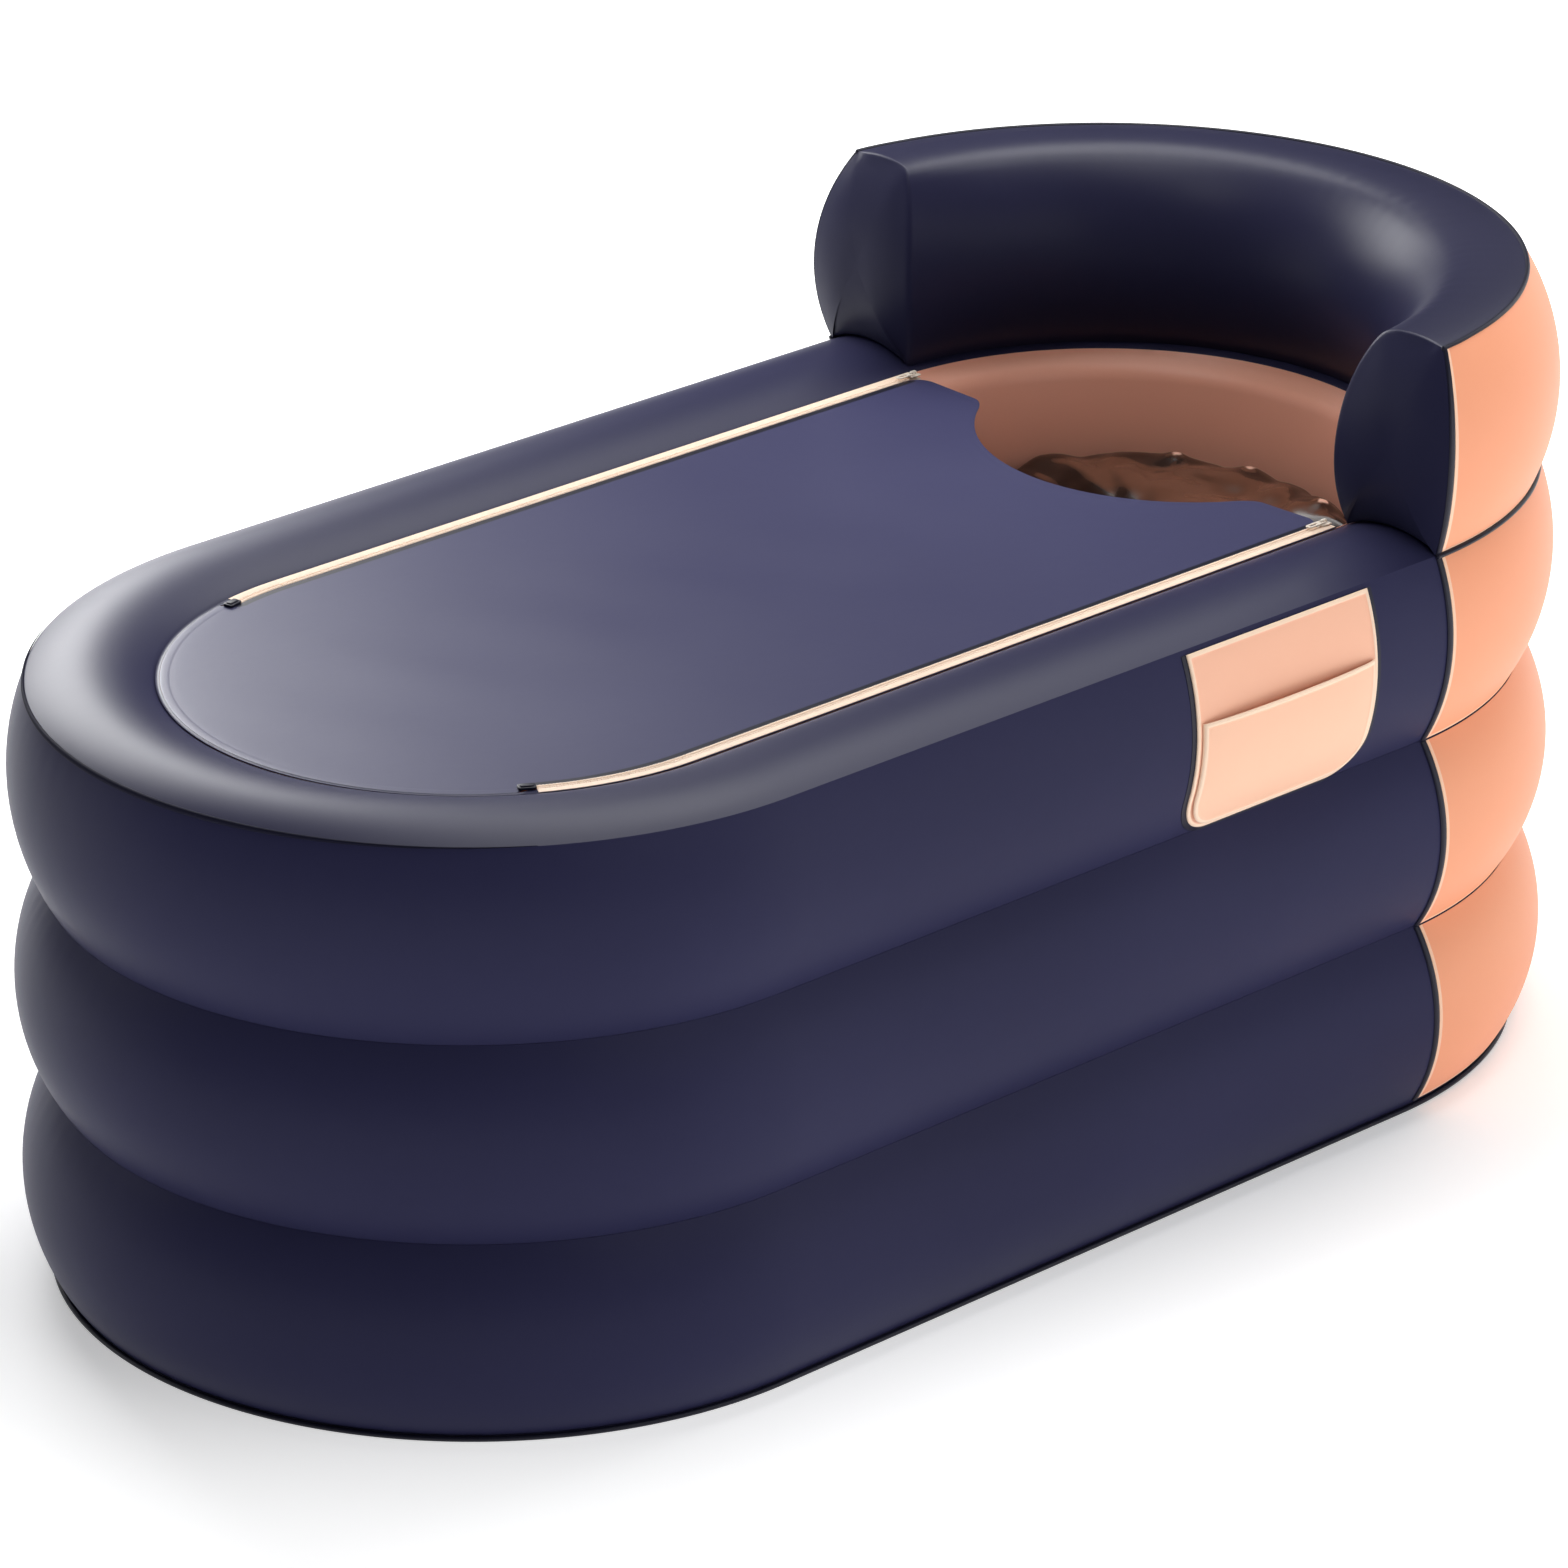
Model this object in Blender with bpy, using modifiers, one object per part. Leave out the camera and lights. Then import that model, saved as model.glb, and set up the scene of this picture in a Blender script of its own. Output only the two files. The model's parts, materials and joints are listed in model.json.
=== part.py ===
# Inflatable bathtub with a zipped cover and a C-shaped backrest.
# Metres, +Z up. The origin is on the ground under the middle of the tub, +X points
# to the head end, and -Y is the side that carries the pocket.
import math

import bmesh
import bpy
from mathutils import Matrix, Vector

# Overall body
HALF_STRAIGHT = 0.390       # half the length of the straight sides
END_RADIUS = 0.410          # radius of both round ends, and half the width
GAP = 0.0003                # clearance between touching pieces
SKIN = 0.0005               # vinyl sheet of an air chamber
END_STEPS = 16              # facets of each half-round end
FINE_STEP = math.radians(3.0)   # facets of the zips' curved ends
HEAD_MARGIN = math.radians(2.0)     # turn of the head end before the backrest starts
CUT_OVERRUN = 0.004         # how far a cutter reaches past what it cuts
MERGE_DISTANCE = 0.00005    # points closer than this are one point
SMOOTH_ANGLE = math.radians(40.0)
MITRE_LIMIT_SHARE = 0.35    # least cosine at which a wall's corner is still mitred
BEAD_STEPS = 8              # facets round a welt
THIN_BEAD_STEPS = 6         # facets round the thin shoulder bead
CORNER_STEPS = 4            # facets of a rounded corner in plan

# Floor
SHEET_THICKNESS = 0.0010
SHEET_INSET = 0.027
BASE_WELT_RADIUS = 0.0025

# Ring chambers
TIER_HEIGHT = 0.184
CREASE_INSET = 0.029        # outer crease between two rings
OUTER_BULGE = 0.029         # swell of the outer wall between its creases
INNER_INSET = 0.150         # inner crease
INNER_BULGE = 0.008
OUTER_ARC_STEPS = 6
INNER_ARC_STEPS = 2
SHOULDER_INSET = 0.0185     # outer seam of the top ring
SHOULDER_RISE = 0.0025      # outer seam above the cover
SHOULDER_BULGE = 0.0228
CROWN_RISE = 0.0145         # rise of the rim above its two seams
CROWN_STEPS = 6
RIM_INSET = 0.131           # inner seam of the rim
RIM_SEAM_CLEARANCE = 0.0006     # rim's inner seam below the welded strip
RIM_DROP = 0.008            # step down beside the zip
RIM_DROP_RUN = 0.006
LINER_TOP_DROP = 0.018      # liner's upper edge below the rim seam

# Backrest
BACKREST_RISE = 0.192       # top edges above the cover
BACKREST_BOTTOM_INSET = 0.125
BACKREST_TOP_OUTER_INSET = 0.034
BACKREST_TOP_INNER_INSET = 0.103
BACKREST_OUTER_BULGE_SHARE = 0.132      # of the outer wall's height
BACKREST_INNER_BULGE = 0.040
BACKREST_CROWN = 0.004
BACKREST_SEAT_GAP = 0.0006
BACKREST_END_WALL = 0.0010
BACKREST_END_LEAN = 0.018   # how far headward the top of an end lies from its foot
BACKREST_END_BOW = 0.016    # swell of an end towards the foot of the bath, at half height
BACKREST_END_STRIPS = 6
BACKREST_TOP_STEPS = 3
BACKREST_INNER_STEPS = 6
BACKREST_WELT_RADIUS = 0.0025

# Peach head panels and the dark tapes that edge them
PANEL_THICKNESS = 0.0006
PANEL_STAND_OFF = 0.0006    # inner face of a panel off the chamber's skin
PANEL_TAPE_WIDTH = 0.007
PANEL_END_GAP = 0.004       # kept free of skin above and below a panel

# Seam bead on the foot end's shoulder
SHOULDER_BEAD_RADIUS = 0.0012
SHOULDER_BEAD_SKIP_STEPS = 3    # facets of the foot end left bare at both ends of the bead

# Liner
LINER_THICKNESS = 0.0006
LINER_STAND_OFF = 0.0006    # outer face of the liner off the chambers' skin

# Cover
COVER_HEIGHT = 0.548        # middle of the sheet
COVER_THICKNESS = 0.0008
COVER_FOOT_INSET = 0.1355
COVER_FOOT_RADIUS = END_RADIUS - COVER_FOOT_INSET
COVER_FOLD_X = 0.010        # headward of the middle, so the turned-back half clears the foot end
COVER_HEAD_REACH = 0.005    # headward of the end of the straight sides
COVER_HEAD_X = HALF_STRAIGHT + COVER_HEAD_REACH
SCOOP_RADIUS = 0.200
SCOOP_DEPTH = 0.104
SCOOP_STEPS = 14
SCOOP_CORNER_RADIUS = 0.012
TAB_CORNER_RADIUS = 0.020
FOLD_AXIS_RISE = 0.0025     # fold lines lie just above the sheet and its chains

# Zips
ZIP_INSET = 0.1434          # middle of the chain
CHAIN_GAP = 0.0016          # between the two half chains
CHAIN_WIDTH = 0.0030
CHAIN_HEIGHT = 0.0024
FLANGE_THICKNESS = 0.0006
NEAR_ZIP_END_ANGLE = math.radians(30.7)
FAR_ZIP_END_ANGLE = math.radians(11.5)
ZIP_HEAD_SETBACK = 0.007    # zip's first tooth short of the end of the straight sides
ZIP_HEAD_X = HALF_STRAIGHT - ZIP_HEAD_SETBACK
STOP_LENGTH = 0.016
STOP_WIDTH = 0.010
STOP_HEIGHT = 0.0034
STOP_STEPS = 2
SLIDER_LENGTH = 0.013
SLIDER_WIDTH = 0.0105
SLIDER_PLATE = 0.0010
SLIDER_CLEARANCE = 0.0004
SLIDER_PARK_GAP = 0.0015    # between a parked slider and the zip's first tooth
SLIDER_FACE_STEP = 0.0003   # keeps the faces of a slider's joined bars apart
SLIDER_POST_WIDTH = 0.0009
SLIDER_POST_LENGTH = 0.0035
BRIDGE_WIDTH = 0.0030
BRIDGE_LENGTH = 0.0070
BRIDGE_HEIGHT = 0.0034
BRIDGE_BAR = 0.0009
PULL_LENGTH = 0.022
PULL_WIDTH = 0.0075
PULL_THICKNESS = 0.0012
PULL_SLOT_CLEARANCE = 0.0004

# Pocket
POCKET_SETBACK = 0.080      # from the end of the straight sides
POCKET_LENGTH = 0.230
POCKET_X_END = HALF_STRAIGHT - POCKET_SETBACK
POCKET_X_START = POCKET_X_END - POCKET_LENGTH
POCKET_TOP_DROP = 0.002     # below the cover's height
POCKET_MOUTH_DROP = 0.063
POCKET_CREASE_RISE = 0.004  # above the crease under the top ring
POCKET_CORNER_RADIUS = 0.040
POCKET_SHEET = 0.0008
POCKET_STAND_OFF = 0.0009   # inner face of a pocket sheet off what it lies on
POUCH_INSET = 0.006
POUCH_DEPTH = 0.0085
POCKET_COLUMNS = 10
POCKET_ROWS = 8
POUCH_ROWS = 6

# Valves
VALVE_SETBACK = 0.240       # from the head end of the straight sides
VALVE_X = HALF_STRAIGHT - VALVE_SETBACK
VALVE_FLANGE_RADIUS = 0.017
VALVE_FLANGE_THICKNESS = 0.0015
VALVE_TUBE_RADIUS = 0.0085
VALVE_BORE_RADIUS = 0.0060
VALVE_TUBE_LENGTH = 0.016
VALVE_CAP_RADIUS = 0.0130
VALVE_CAP_THICKNESS = 0.0030
VALVE_PLUG_LENGTH = 0.0080
PLUG_CLEARANCE = 0.0003
BACKREST_VALVE_ANGLE = math.radians(60.0)
TURNED_STEPS = 16

# Drain
DRAIN_SETBACK = 0.090       # from the foot end of the straight sides
DRAIN_X = DRAIN_SETBACK - HALF_STRAIGHT
DRAIN_TUBE_RADIUS = 0.0190
DRAIN_BORE_RADIUS = 0.0155
DRAIN_FLANGE_RADIUS = 0.0270
DRAIN_FLANGE_THICKNESS = 0.0020
DRAIN_CAP_RADIUS = 0.0215
DRAIN_CAP_THICKNESS = 0.0040
DRAIN_PLUG_LENGTH = 0.0120

# Cushions
CUSHION_CLEARANCE = 0.006
FLOOR_CUSHION_THICKNESS = 0.052
HEAD_CUSHION_LEAD = 0.100   # front of the head cushion short of the head end's centre
CUSHION_APART = 0.015       # between the two cushions
HEAD_CUSHION_FRONT_X = HALF_STRAIGHT - HEAD_CUSHION_LEAD
FLOOR_CUSHION_HEAD_X = HEAD_CUSHION_FRONT_X - CUSHION_APART
HEAD_CUSHION_TOP = 0.432
HEAD_CUSHION_FRONT_TOP = 0.120
HEAD_CUSHION_SLOPE_RUN = 0.210
HEAD_CUSHION_SLOPE_END_X = HEAD_CUSHION_FRONT_X + HEAD_CUSHION_SLOPE_RUN
CUSHION_EDGE_RADIUS = 0.030
CUSHION_CORNER_RADIUS = 0.045   # plan corners of a cushion's straight front
CUSHION_SPINE_HALF = 0.045      # half the ridge that the head cushion's crown closes on
CUSHION_TUCK = 0.015            # how far the underside is drawn in below the side walls
CUSHION_EDGE_STEPS = 3
CUSHION_CROWN_STEPS = 2
FLOOR_CUSHION_SIDE_STEPS = 8
HEAD_CUSHION_SIDE_STEPS = 3
CUSHION_FRONT_CORNER_STEPS = 3

# Colours
NAVY = (0.036, 0.037, 0.085)
NAVY_COVER = (0.075, 0.076, 0.135)
NAVY_DARK = (0.008, 0.008, 0.020)
PEACH = (0.930, 0.430, 0.270)
PEACH_LIGHT = (0.960, 0.560, 0.390)
PEACH_LINER = (0.620, 0.290, 0.190)
CREAM = (0.900, 0.680, 0.520)
IVORY = (0.850, 0.760, 0.660)
CLEAR_VINYL = (0.700, 0.720, 0.740)

# Surface roughness shares
SATIN_SHARE = 0.42          # skins, panels and tapes
MATT_SHARE = 0.50           # cover, floor sheet and zip chains
MOULDED_SHARE = 0.35        # sliders, caps and stoppers
CLEAR_SHARE = 0.25          # valve bodies

# Turns of the two ends as (angle, facets), from the -Y side round to the +Y side
HEAD_STEP = (math.pi - 2 * HEAD_MARGIN) / END_STEPS
FOOT_STEP = math.pi / END_STEPS
HEAD_SPANS = ((HEAD_MARGIN, 1), (END_STEPS * HEAD_STEP, END_STEPS), (HEAD_MARGIN, 1))
FOOT_SPANS = ((math.pi, END_STEPS),)
BACKREST_SPANS = ((END_STEPS * HEAD_STEP, END_STEPS),)

# Heights that follow from the tiers
FLOOR_TOP = SHEET_THICKNESS + GAP
LOWER_TOP = TIER_HEIGHT
MIDDLE_TOP = 2 * TIER_HEIGHT
SHOULDER_HEIGHT = COVER_HEIGHT + SHOULDER_RISE
BACKREST_TOP = COVER_HEIGHT + BACKREST_RISE
BACKREST_OUTER_BULGE = (BACKREST_TOP - SHOULDER_HEIGHT) * BACKREST_OUTER_BULGE_SHARE
POCKET_BOTTOM = MIDDLE_TOP + POCKET_CREASE_RISE
POCKET_TOP = COVER_HEIGHT - POCKET_TOP_DROP
POCKET_MOUTH = COVER_HEIGHT - POCKET_MOUTH_DROP
COVER_TOP = COVER_HEIGHT + COVER_THICKNESS / 2
COVER_BOTTOM = COVER_HEIGHT - COVER_THICKNESS / 2
RIM_SEAM_HEIGHT = COVER_HEIGHT - FLANGE_THICKNESS / 2 - RIM_SEAM_CLEARANCE
LINER_FACE_INSET = INNER_INSET + INNER_BULGE + LINER_STAND_OFF + LINER_THICKNESS
LINER_FLOOR_TOP = FLOOR_TOP + LINER_THICKNESS
COVER_EDGE_INSET = ZIP_INSET + CHAIN_GAP / 2 + CHAIN_WIDTH + GAP
FLANGE_EDGE_INSET = ZIP_INSET - CHAIN_GAP / 2 - CHAIN_WIDTH - GAP
FOLD_AXIS_HEIGHT = COVER_TOP + FOLD_AXIS_RISE
COVER_HINGE_X = -HALF_STRAIGHT


# Scene helpers

def clear_scene():
    for item in list(bpy.data.objects):
        bpy.data.objects.remove(item, do_unlink=True)


def new_collection(name):
    collection = bpy.data.collections.new(name)
    bpy.context.scene.collection.children.link(collection)
    return collection


clear_scene()
PARTS = new_collection("inflatable_bathtub")
CUTTERS = new_collection("cutters")


def make_material(name, colour, roughness, metallic=0.0):
    material = bpy.data.materials.new(name)
    material.use_nodes = True
    shader = material.node_tree.nodes["Principled BSDF"]
    shader.inputs["Base Color"].default_value = (*colour, 1.0)
    shader.inputs["Roughness"].default_value = roughness
    shader.inputs["Metallic"].default_value = metallic
    material.diffuse_color = (*colour, 1.0)
    return material


def add_object(name, mesh, colour=None, roughness=SATIN_SHARE, collection=PARTS):
    item = bpy.data.objects.new(name, mesh)
    collection.objects.link(item)
    if colour is not None:
        mesh.materials.append(make_material(name, colour, roughness))
    return item


def mesh_from(bm, name):
    bmesh.ops.recalc_face_normals(bm, faces=bm.faces)
    mesh = bpy.data.meshes.new(name)
    bm.to_mesh(mesh)
    bm.free()
    mesh.shade_smooth()
    mesh.set_sharp_from_angle(angle=SMOOTH_ANGLE)
    return mesh


def as_cutter(item):
    item.hide_render = True
    item.display_type = "WIRE"
    return item


def cut(item, cutter):
    step = item.modifiers.new("cut_" + cutter.name, "BOOLEAN")
    step.operation = "DIFFERENCE"
    step.solver = "EXACT"
    step.object = cutter


# Plan and section helpers
# A section point is (inset, height): how far it lies inside the widest outline.

def arc_between(start, end, bulge, steps):
    """Points from start to end on an arc that swells to the left by bulge."""
    ax, az = start
    bx, bz = end
    chord = math.hypot(bx - ax, bz - az)
    radius = (chord * chord / 4 + bulge * bulge) / (2 * bulge)
    half = math.asin(min(1.0, chord / 2 / radius))
    ux = (bx - ax) / chord
    uz = (bz - az) / chord
    points = []
    for k in range(steps + 1):
        angle = -half + 2 * half * k / steps
        along = chord / 2 + radius * math.sin(angle)
        side = radius * math.cos(angle) - (radius - bulge)
        points.append((ax + ux * along - uz * side, az + uz * along + ux * side))
    return points


def inward(section, distance):
    """The same closed section drawn in by a wall thickness."""
    count = len(section)
    area = 0.0
    for (x0, z0), (x1, z1) in zip(section, section[1:] + section[:1]):
        area += x0 * z1 - x1 * z0
    turn = 1.0 if area > 0 else -1.0
    result = []
    for k in range(count):
        here = Vector(section[k])
        before = (here - Vector(section[k - 1])).normalized()
        after = (Vector(section[(k + 1) % count]) - here).normalized()
        normal_a = Vector((-before.y, before.x)) * turn
        normal_b = Vector((-after.y, after.x)) * turn
        middle = (normal_a + normal_b).normalized()
        cosine = max(middle.dot(normal_a), MITRE_LIMIT_SHARE)
        result.append(tuple(here + middle * (distance / cosine)))
    return result


def section_loop(bm, section, centre_x, angle):
    """The closed section standing on a ray that leaves (centre_x, 0) at an angle from -Y."""
    verts = []
    for inset, height in section:
        reach = END_RADIUS - inset
        place = (centre_x + reach * math.sin(angle), -reach * math.cos(angle), height)
        verts.append(bm.verts.new(place))
    edges = [bm.edges.new((a, b)) for a, b in zip(verts, verts[1:])]
    edges.append(bm.edges.new((verts[-1], verts[0])))
    return verts, edges


def turn_round(bm, verts, edges, centre_x, spans):
    """Turns a section through each (angle, facets) of the spans, one after another."""
    for angle, steps in spans:
        last = bmesh.ops.spin(
            bm, geom=verts + edges, cent=(centre_x, 0, 0), axis=(0, 0, 1), angle=angle, steps=steps
        )["geom_last"]
        verts = [g for g in last if isinstance(g, bmesh.types.BMVert)]
        edges = [g for g in last if isinstance(g, bmesh.types.BMEdge)]
    return verts, edges


def run_straight(bm, edges, distance):
    made = bmesh.ops.extrude_edge_only(bm, edges=edges)["geom"]
    verts = [g for g in made if isinstance(g, bmesh.types.BMVert)]
    bmesh.ops.translate(bm, verts=verts, vec=(distance, 0, 0))
    return verts, [g for g in made if isinstance(g, bmesh.types.BMEdge) and set(g.verts) <= set(verts)]


def sweep_round(section):
    """A closed section carried once around the whole outline."""
    bm = bmesh.new()
    verts, edges = section_loop(bm, section, HALF_STRAIGHT, 0.0)
    verts, edges = turn_round(bm, verts, edges, HALF_STRAIGHT, HEAD_SPANS)
    verts, edges = run_straight(bm, edges, -2 * HALF_STRAIGHT)
    verts, edges = turn_round(bm, verts, edges, -HALF_STRAIGHT, FOOT_SPANS)
    verts, edges = run_straight(bm, edges, 2 * HALF_STRAIGHT)
    bmesh.ops.remove_doubles(bm, verts=bm.verts, dist=MERGE_DISTANCE)
    return bm


def sweep_end(section, centre_x, start_angle, spans):
    """A closed section carried part of the way round one end, with flat ends."""
    bm = bmesh.new()
    verts, edges = section_loop(bm, section, centre_x, start_angle)
    bm.faces.new(verts)
    turn_round(bm, verts, edges, centre_x, spans)
    bmesh.ops.holes_fill(bm, edges=[e for e in bm.edges if e.is_boundary], sides=0)
    return bm


def end_share(vert):
    """How far a point of the head end lies along its last facet: 1 is its very end."""
    turn = abs(math.atan2(vert.co.y, vert.co.x - HALF_STRAIGHT))
    return (turn - (math.pi / 2 - HEAD_MARGIN - HEAD_STEP)) / HEAD_STEP


def strip_edge(number):
    """Height and bow of one of the level lines that part an end into strips."""
    seat = SHOULDER_HEIGHT + BACKREST_SEAT_GAP
    up = number / BACKREST_END_STRIPS
    bow = BACKREST_END_LEAN * up - BACKREST_END_BOW * 4 * up * (1 - up)
    return seat + (BACKREST_TOP - seat) * up, bow


def bow_at(height, edges):
    """The bow at a height: it runs straight from one level line to the next."""
    if height <= edges[0][0]:
        return edges[0][1]
    for (low, low_bow), (high, high_bow) in zip(edges, edges[1:]):
        if height <= high:
            return low_bow + (high_bow - low_bow) * (height - low) / (high - low)
    return edges[-1][1]


def bow_ends(bm):
    """Leans and bows the ends of what stands above the seat, over their last facet."""
    edges = [strip_edge(k) for k in range(BACKREST_END_STRIPS + 1)]
    for height, _ in edges:
        near = [f for f in bm.faces if min(end_share(v) for v in f.verts) > 0.5]
        geom = set(near)
        for face in near:
            geom.update(face.edges)
            geom.update(face.verts)
        bmesh.ops.bisect_plane(
            bm, geom=list(geom), dist=MERGE_DISTANCE, plane_co=(0, 0, height), plane_no=(0, 0, 1)
        )
    moves = [bow_at(v.co.z, edges) * max(end_share(v), 0.0) for v in bm.verts]
    for vert, move in zip(bm.verts, moves):
        vert.co.x += move
    return bm


def outer_arc(bottom, top):
    return arc_between((CREASE_INSET, bottom), (CREASE_INSET, top), OUTER_BULGE, OUTER_ARC_STEPS)


def hollow(bm, name, colour, inner_bm):
    """An air chamber: the outer skin, and the void's skin facing the other way."""
    inner = mesh_from(inner_bm, name + "_void")
    mesh = mesh_from(bm, name)
    joined = bmesh.new()
    joined.from_mesh(mesh)
    outer_faces = len(joined.faces)
    joined.from_mesh(inner)
    joined.faces.ensure_lookup_table()
    bmesh.ops.reverse_faces(joined, faces=joined.faces[outer_faces:])
    joined.to_mesh(mesh)
    joined.free()
    bpy.data.meshes.remove(inner)
    mesh.shade_smooth()
    mesh.set_sharp_from_angle(angle=SMOOTH_ANGLE)
    return add_object(name, mesh, colour)


# Ring sections, each listed from the outer bottom crease upwards

def plain_ring_section(bottom, top):
    outer = outer_arc(bottom, top)
    inner = arc_between((INNER_INSET, top), (INNER_INSET, bottom), INNER_BULGE, INNER_ARC_STEPS)
    return outer + inner


def upper_outer_arc(bottom):
    return arc_between(
        (CREASE_INSET, bottom), (SHOULDER_INSET, SHOULDER_HEIGHT), SHOULDER_BULGE, OUTER_ARC_STEPS
    )


def crown_arc():
    outer_seam = (SHOULDER_INSET, SHOULDER_HEIGHT)
    return arc_between(outer_seam, (RIM_INSET, RIM_SEAM_HEIGHT), CROWN_RISE, CROWN_STEPS)


def upper_ring_section(bottom):
    crown = crown_arc()
    rim_x, rim_z = crown[-1]
    step = (rim_x + RIM_DROP_RUN, rim_z - RIM_DROP)
    inner = arc_between(
        (INNER_INSET, rim_z - LINER_TOP_DROP), (INNER_INSET, bottom), INNER_BULGE, INNER_ARC_STEPS
    )
    return upper_outer_arc(bottom) + crown[1:] + [step] + inner


def backrest_outer_arc():
    return arc_between(
        (SHOULDER_INSET, SHOULDER_HEIGHT + BACKREST_SEAT_GAP), (BACKREST_TOP_OUTER_INSET, BACKREST_TOP),
        BACKREST_OUTER_BULGE, OUTER_ARC_STEPS
    )


def backrest_section():
    outer = backrest_outer_arc()
    inner_edge = (BACKREST_TOP_INNER_INSET, BACKREST_TOP)
    top = arc_between(
        (BACKREST_TOP_OUTER_INSET, BACKREST_TOP), inner_edge, BACKREST_CROWN, BACKREST_TOP_STEPS
    )
    seat = [(x, z + BACKREST_SEAT_GAP) for x, z in crown_arc() if x < BACKREST_BOTTOM_INSET]
    inner_end = (BACKREST_BOTTOM_INSET, crown_height(BACKREST_BOTTOM_INSET) + BACKREST_SEAT_GAP)
    inner = arc_between(inner_edge, inner_end, BACKREST_INNER_BULGE, BACKREST_INNER_STEPS)
    return outer + top[1:] + inner[1:] + list(reversed(seat[1:]))


def crown_height(inset):
    """Height of the rim's facets at an inset."""
    crown = crown_arc()
    for (x0, z0), (x1, z1) in zip(crown, crown[1:]):
        if x0 <= inset <= x1:
            return z0 + (z1 - z0) * (inset - x0) / (x1 - x0)
    return crown[-1][1]


# Turned pieces

def turned(name, profile, colour=None, roughness=MOULDED_SHARE, collection=PARTS):
    """A solid of revolution about Z from (radius, height) points, listed top to bottom."""
    mesh = bpy.data.meshes.new(name)
    verts = [(radius, 0, height) for radius, height in profile]
    closed = profile[0][0] > 0
    edges = [(k, k + 1) for k in range(len(verts) - 1)]
    if closed:
        edges.append((len(verts) - 1, 0))
    mesh.from_pydata(verts, edges, [])
    item = add_object(name, mesh, colour, roughness, collection)
    screw = item.modifiers.new("turn", "SCREW")
    screw.steps = TURNED_STEPS
    screw.render_steps = TURNED_STEPS
    screw.use_merge_vertices = True
    screw.merge_threshold = MERGE_DISTANCE
    screw.use_smooth_shade = True
    screw.use_normal_calculate = False
    return item


def point_along(item, place, direction):
    """Stand a turned piece at a place with its +Z along a direction."""
    item.location = place
    item.rotation_euler = Vector(direction).to_track_quat("Z", "Y").to_euler()


def cylinder_cutter(name, radius, length, place, direction):
    cutter = turned(
        name, [(0, length / 2), (radius, length / 2), (radius, -length / 2), (0, -length / 2)],
        collection=CUTTERS
    )
    point_along(cutter, place, direction)
    return as_cutter(cutter)


# Floor

def stadium_points(inset):
    """The whole outline drawn in by an inset, with the same facets as a swept section."""
    reach = END_RADIUS - inset
    points = []
    ends = ((HALF_STRAIGHT, -math.pi / 2, HEAD_SPANS), (-HALF_STRAIGHT, math.pi / 2, FOOT_SPANS))
    for centre, angle, spans in ends:
        points.append((centre + reach * math.cos(angle), reach * math.sin(angle)))
        for turn, steps in spans:
            for _ in range(steps):
                angle += turn / steps
                points.append((centre + reach * math.cos(angle), reach * math.sin(angle)))
    return points


def flat_plate(name, points, bottom, thickness, colour, roughness=MATT_SHARE):
    """A flat outline with a thickness, standing on the height given."""
    bm = bmesh.new()
    verts = [bm.verts.new((x, y, bottom)) for x, y in points]
    face = bm.faces.new(verts)
    made = bmesh.ops.extrude_face_region(bm, geom=[face])["geom"]
    top = [g for g in made if isinstance(g, bmesh.types.BMVert)]
    bmesh.ops.translate(bm, verts=top, vec=(0, 0, thickness))
    return add_object(name, mesh_from(bm, name), colour, roughness)


def round_section(inset, height, radius, steps=BEAD_STEPS):
    points = []
    for k in range(steps):
        angle = 2 * math.pi * (k + 0.5) / steps
        points.append((inset + radius * math.cos(angle), height + radius * math.sin(angle)))
    return points


def build_floor():
    flat_plate("floor_sheet", stadium_points(SHEET_INSET), 0, SHEET_THICKNESS, NAVY_DARK)
    welt_inset = SHEET_INSET - BASE_WELT_RADIUS - GAP
    bm = sweep_round(round_section(welt_inset, BASE_WELT_RADIUS + GAP, BASE_WELT_RADIUS))
    add_object("base_welt", mesh_from(bm, "base_welt"), NAVY_DARK)


# Ring chambers, the backrest and their valves

def build_ring(name, section):
    return hollow(sweep_round(section), name, NAVY, sweep_round(inward(section, SKIN)))


def build_valve(name, place, direction, carriers):
    """A flanged valve body let into each carrier, and its pull-out cap."""
    direction = Vector(direction).normalized()
    place = Vector(place)
    hole = cylinder_cutter(
        name + "_hole", VALVE_TUBE_RADIUS + GAP, VALVE_TUBE_LENGTH, place, direction
    )
    for carrier in carriers:
        cut(carrier, hole)
    body = turned(
        name + "_valve",
        [
            (VALVE_BORE_RADIUS, VALVE_FLANGE_THICKNESS),
            (VALVE_FLANGE_RADIUS, VALVE_FLANGE_THICKNESS),
            (VALVE_FLANGE_RADIUS, 0),
            (VALVE_TUBE_RADIUS, 0),
            (VALVE_TUBE_RADIUS, -VALVE_TUBE_LENGTH),
            (VALVE_BORE_RADIUS, -VALVE_TUBE_LENGTH),
        ],
        CLEAR_VINYL, CLEAR_SHARE
    )
    point_along(body, place + direction * GAP, direction)
    plug = VALVE_BORE_RADIUS - PLUG_CLEARANCE
    seat = VALVE_FLANGE_THICKNESS + GAP
    cap = turned(
        name + "_valve_cap",
        [
            (0, seat + VALVE_CAP_THICKNESS),
            (VALVE_CAP_RADIUS, seat + VALVE_CAP_THICKNESS),
            (VALVE_CAP_RADIUS, seat),
            (plug, seat),
            (plug, seat - VALVE_PLUG_LENGTH),
            (0, seat - VALVE_PLUG_LENGTH),
        ],
        NAVY
    )
    point_along(cap, place + direction * GAP, direction)


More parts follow.
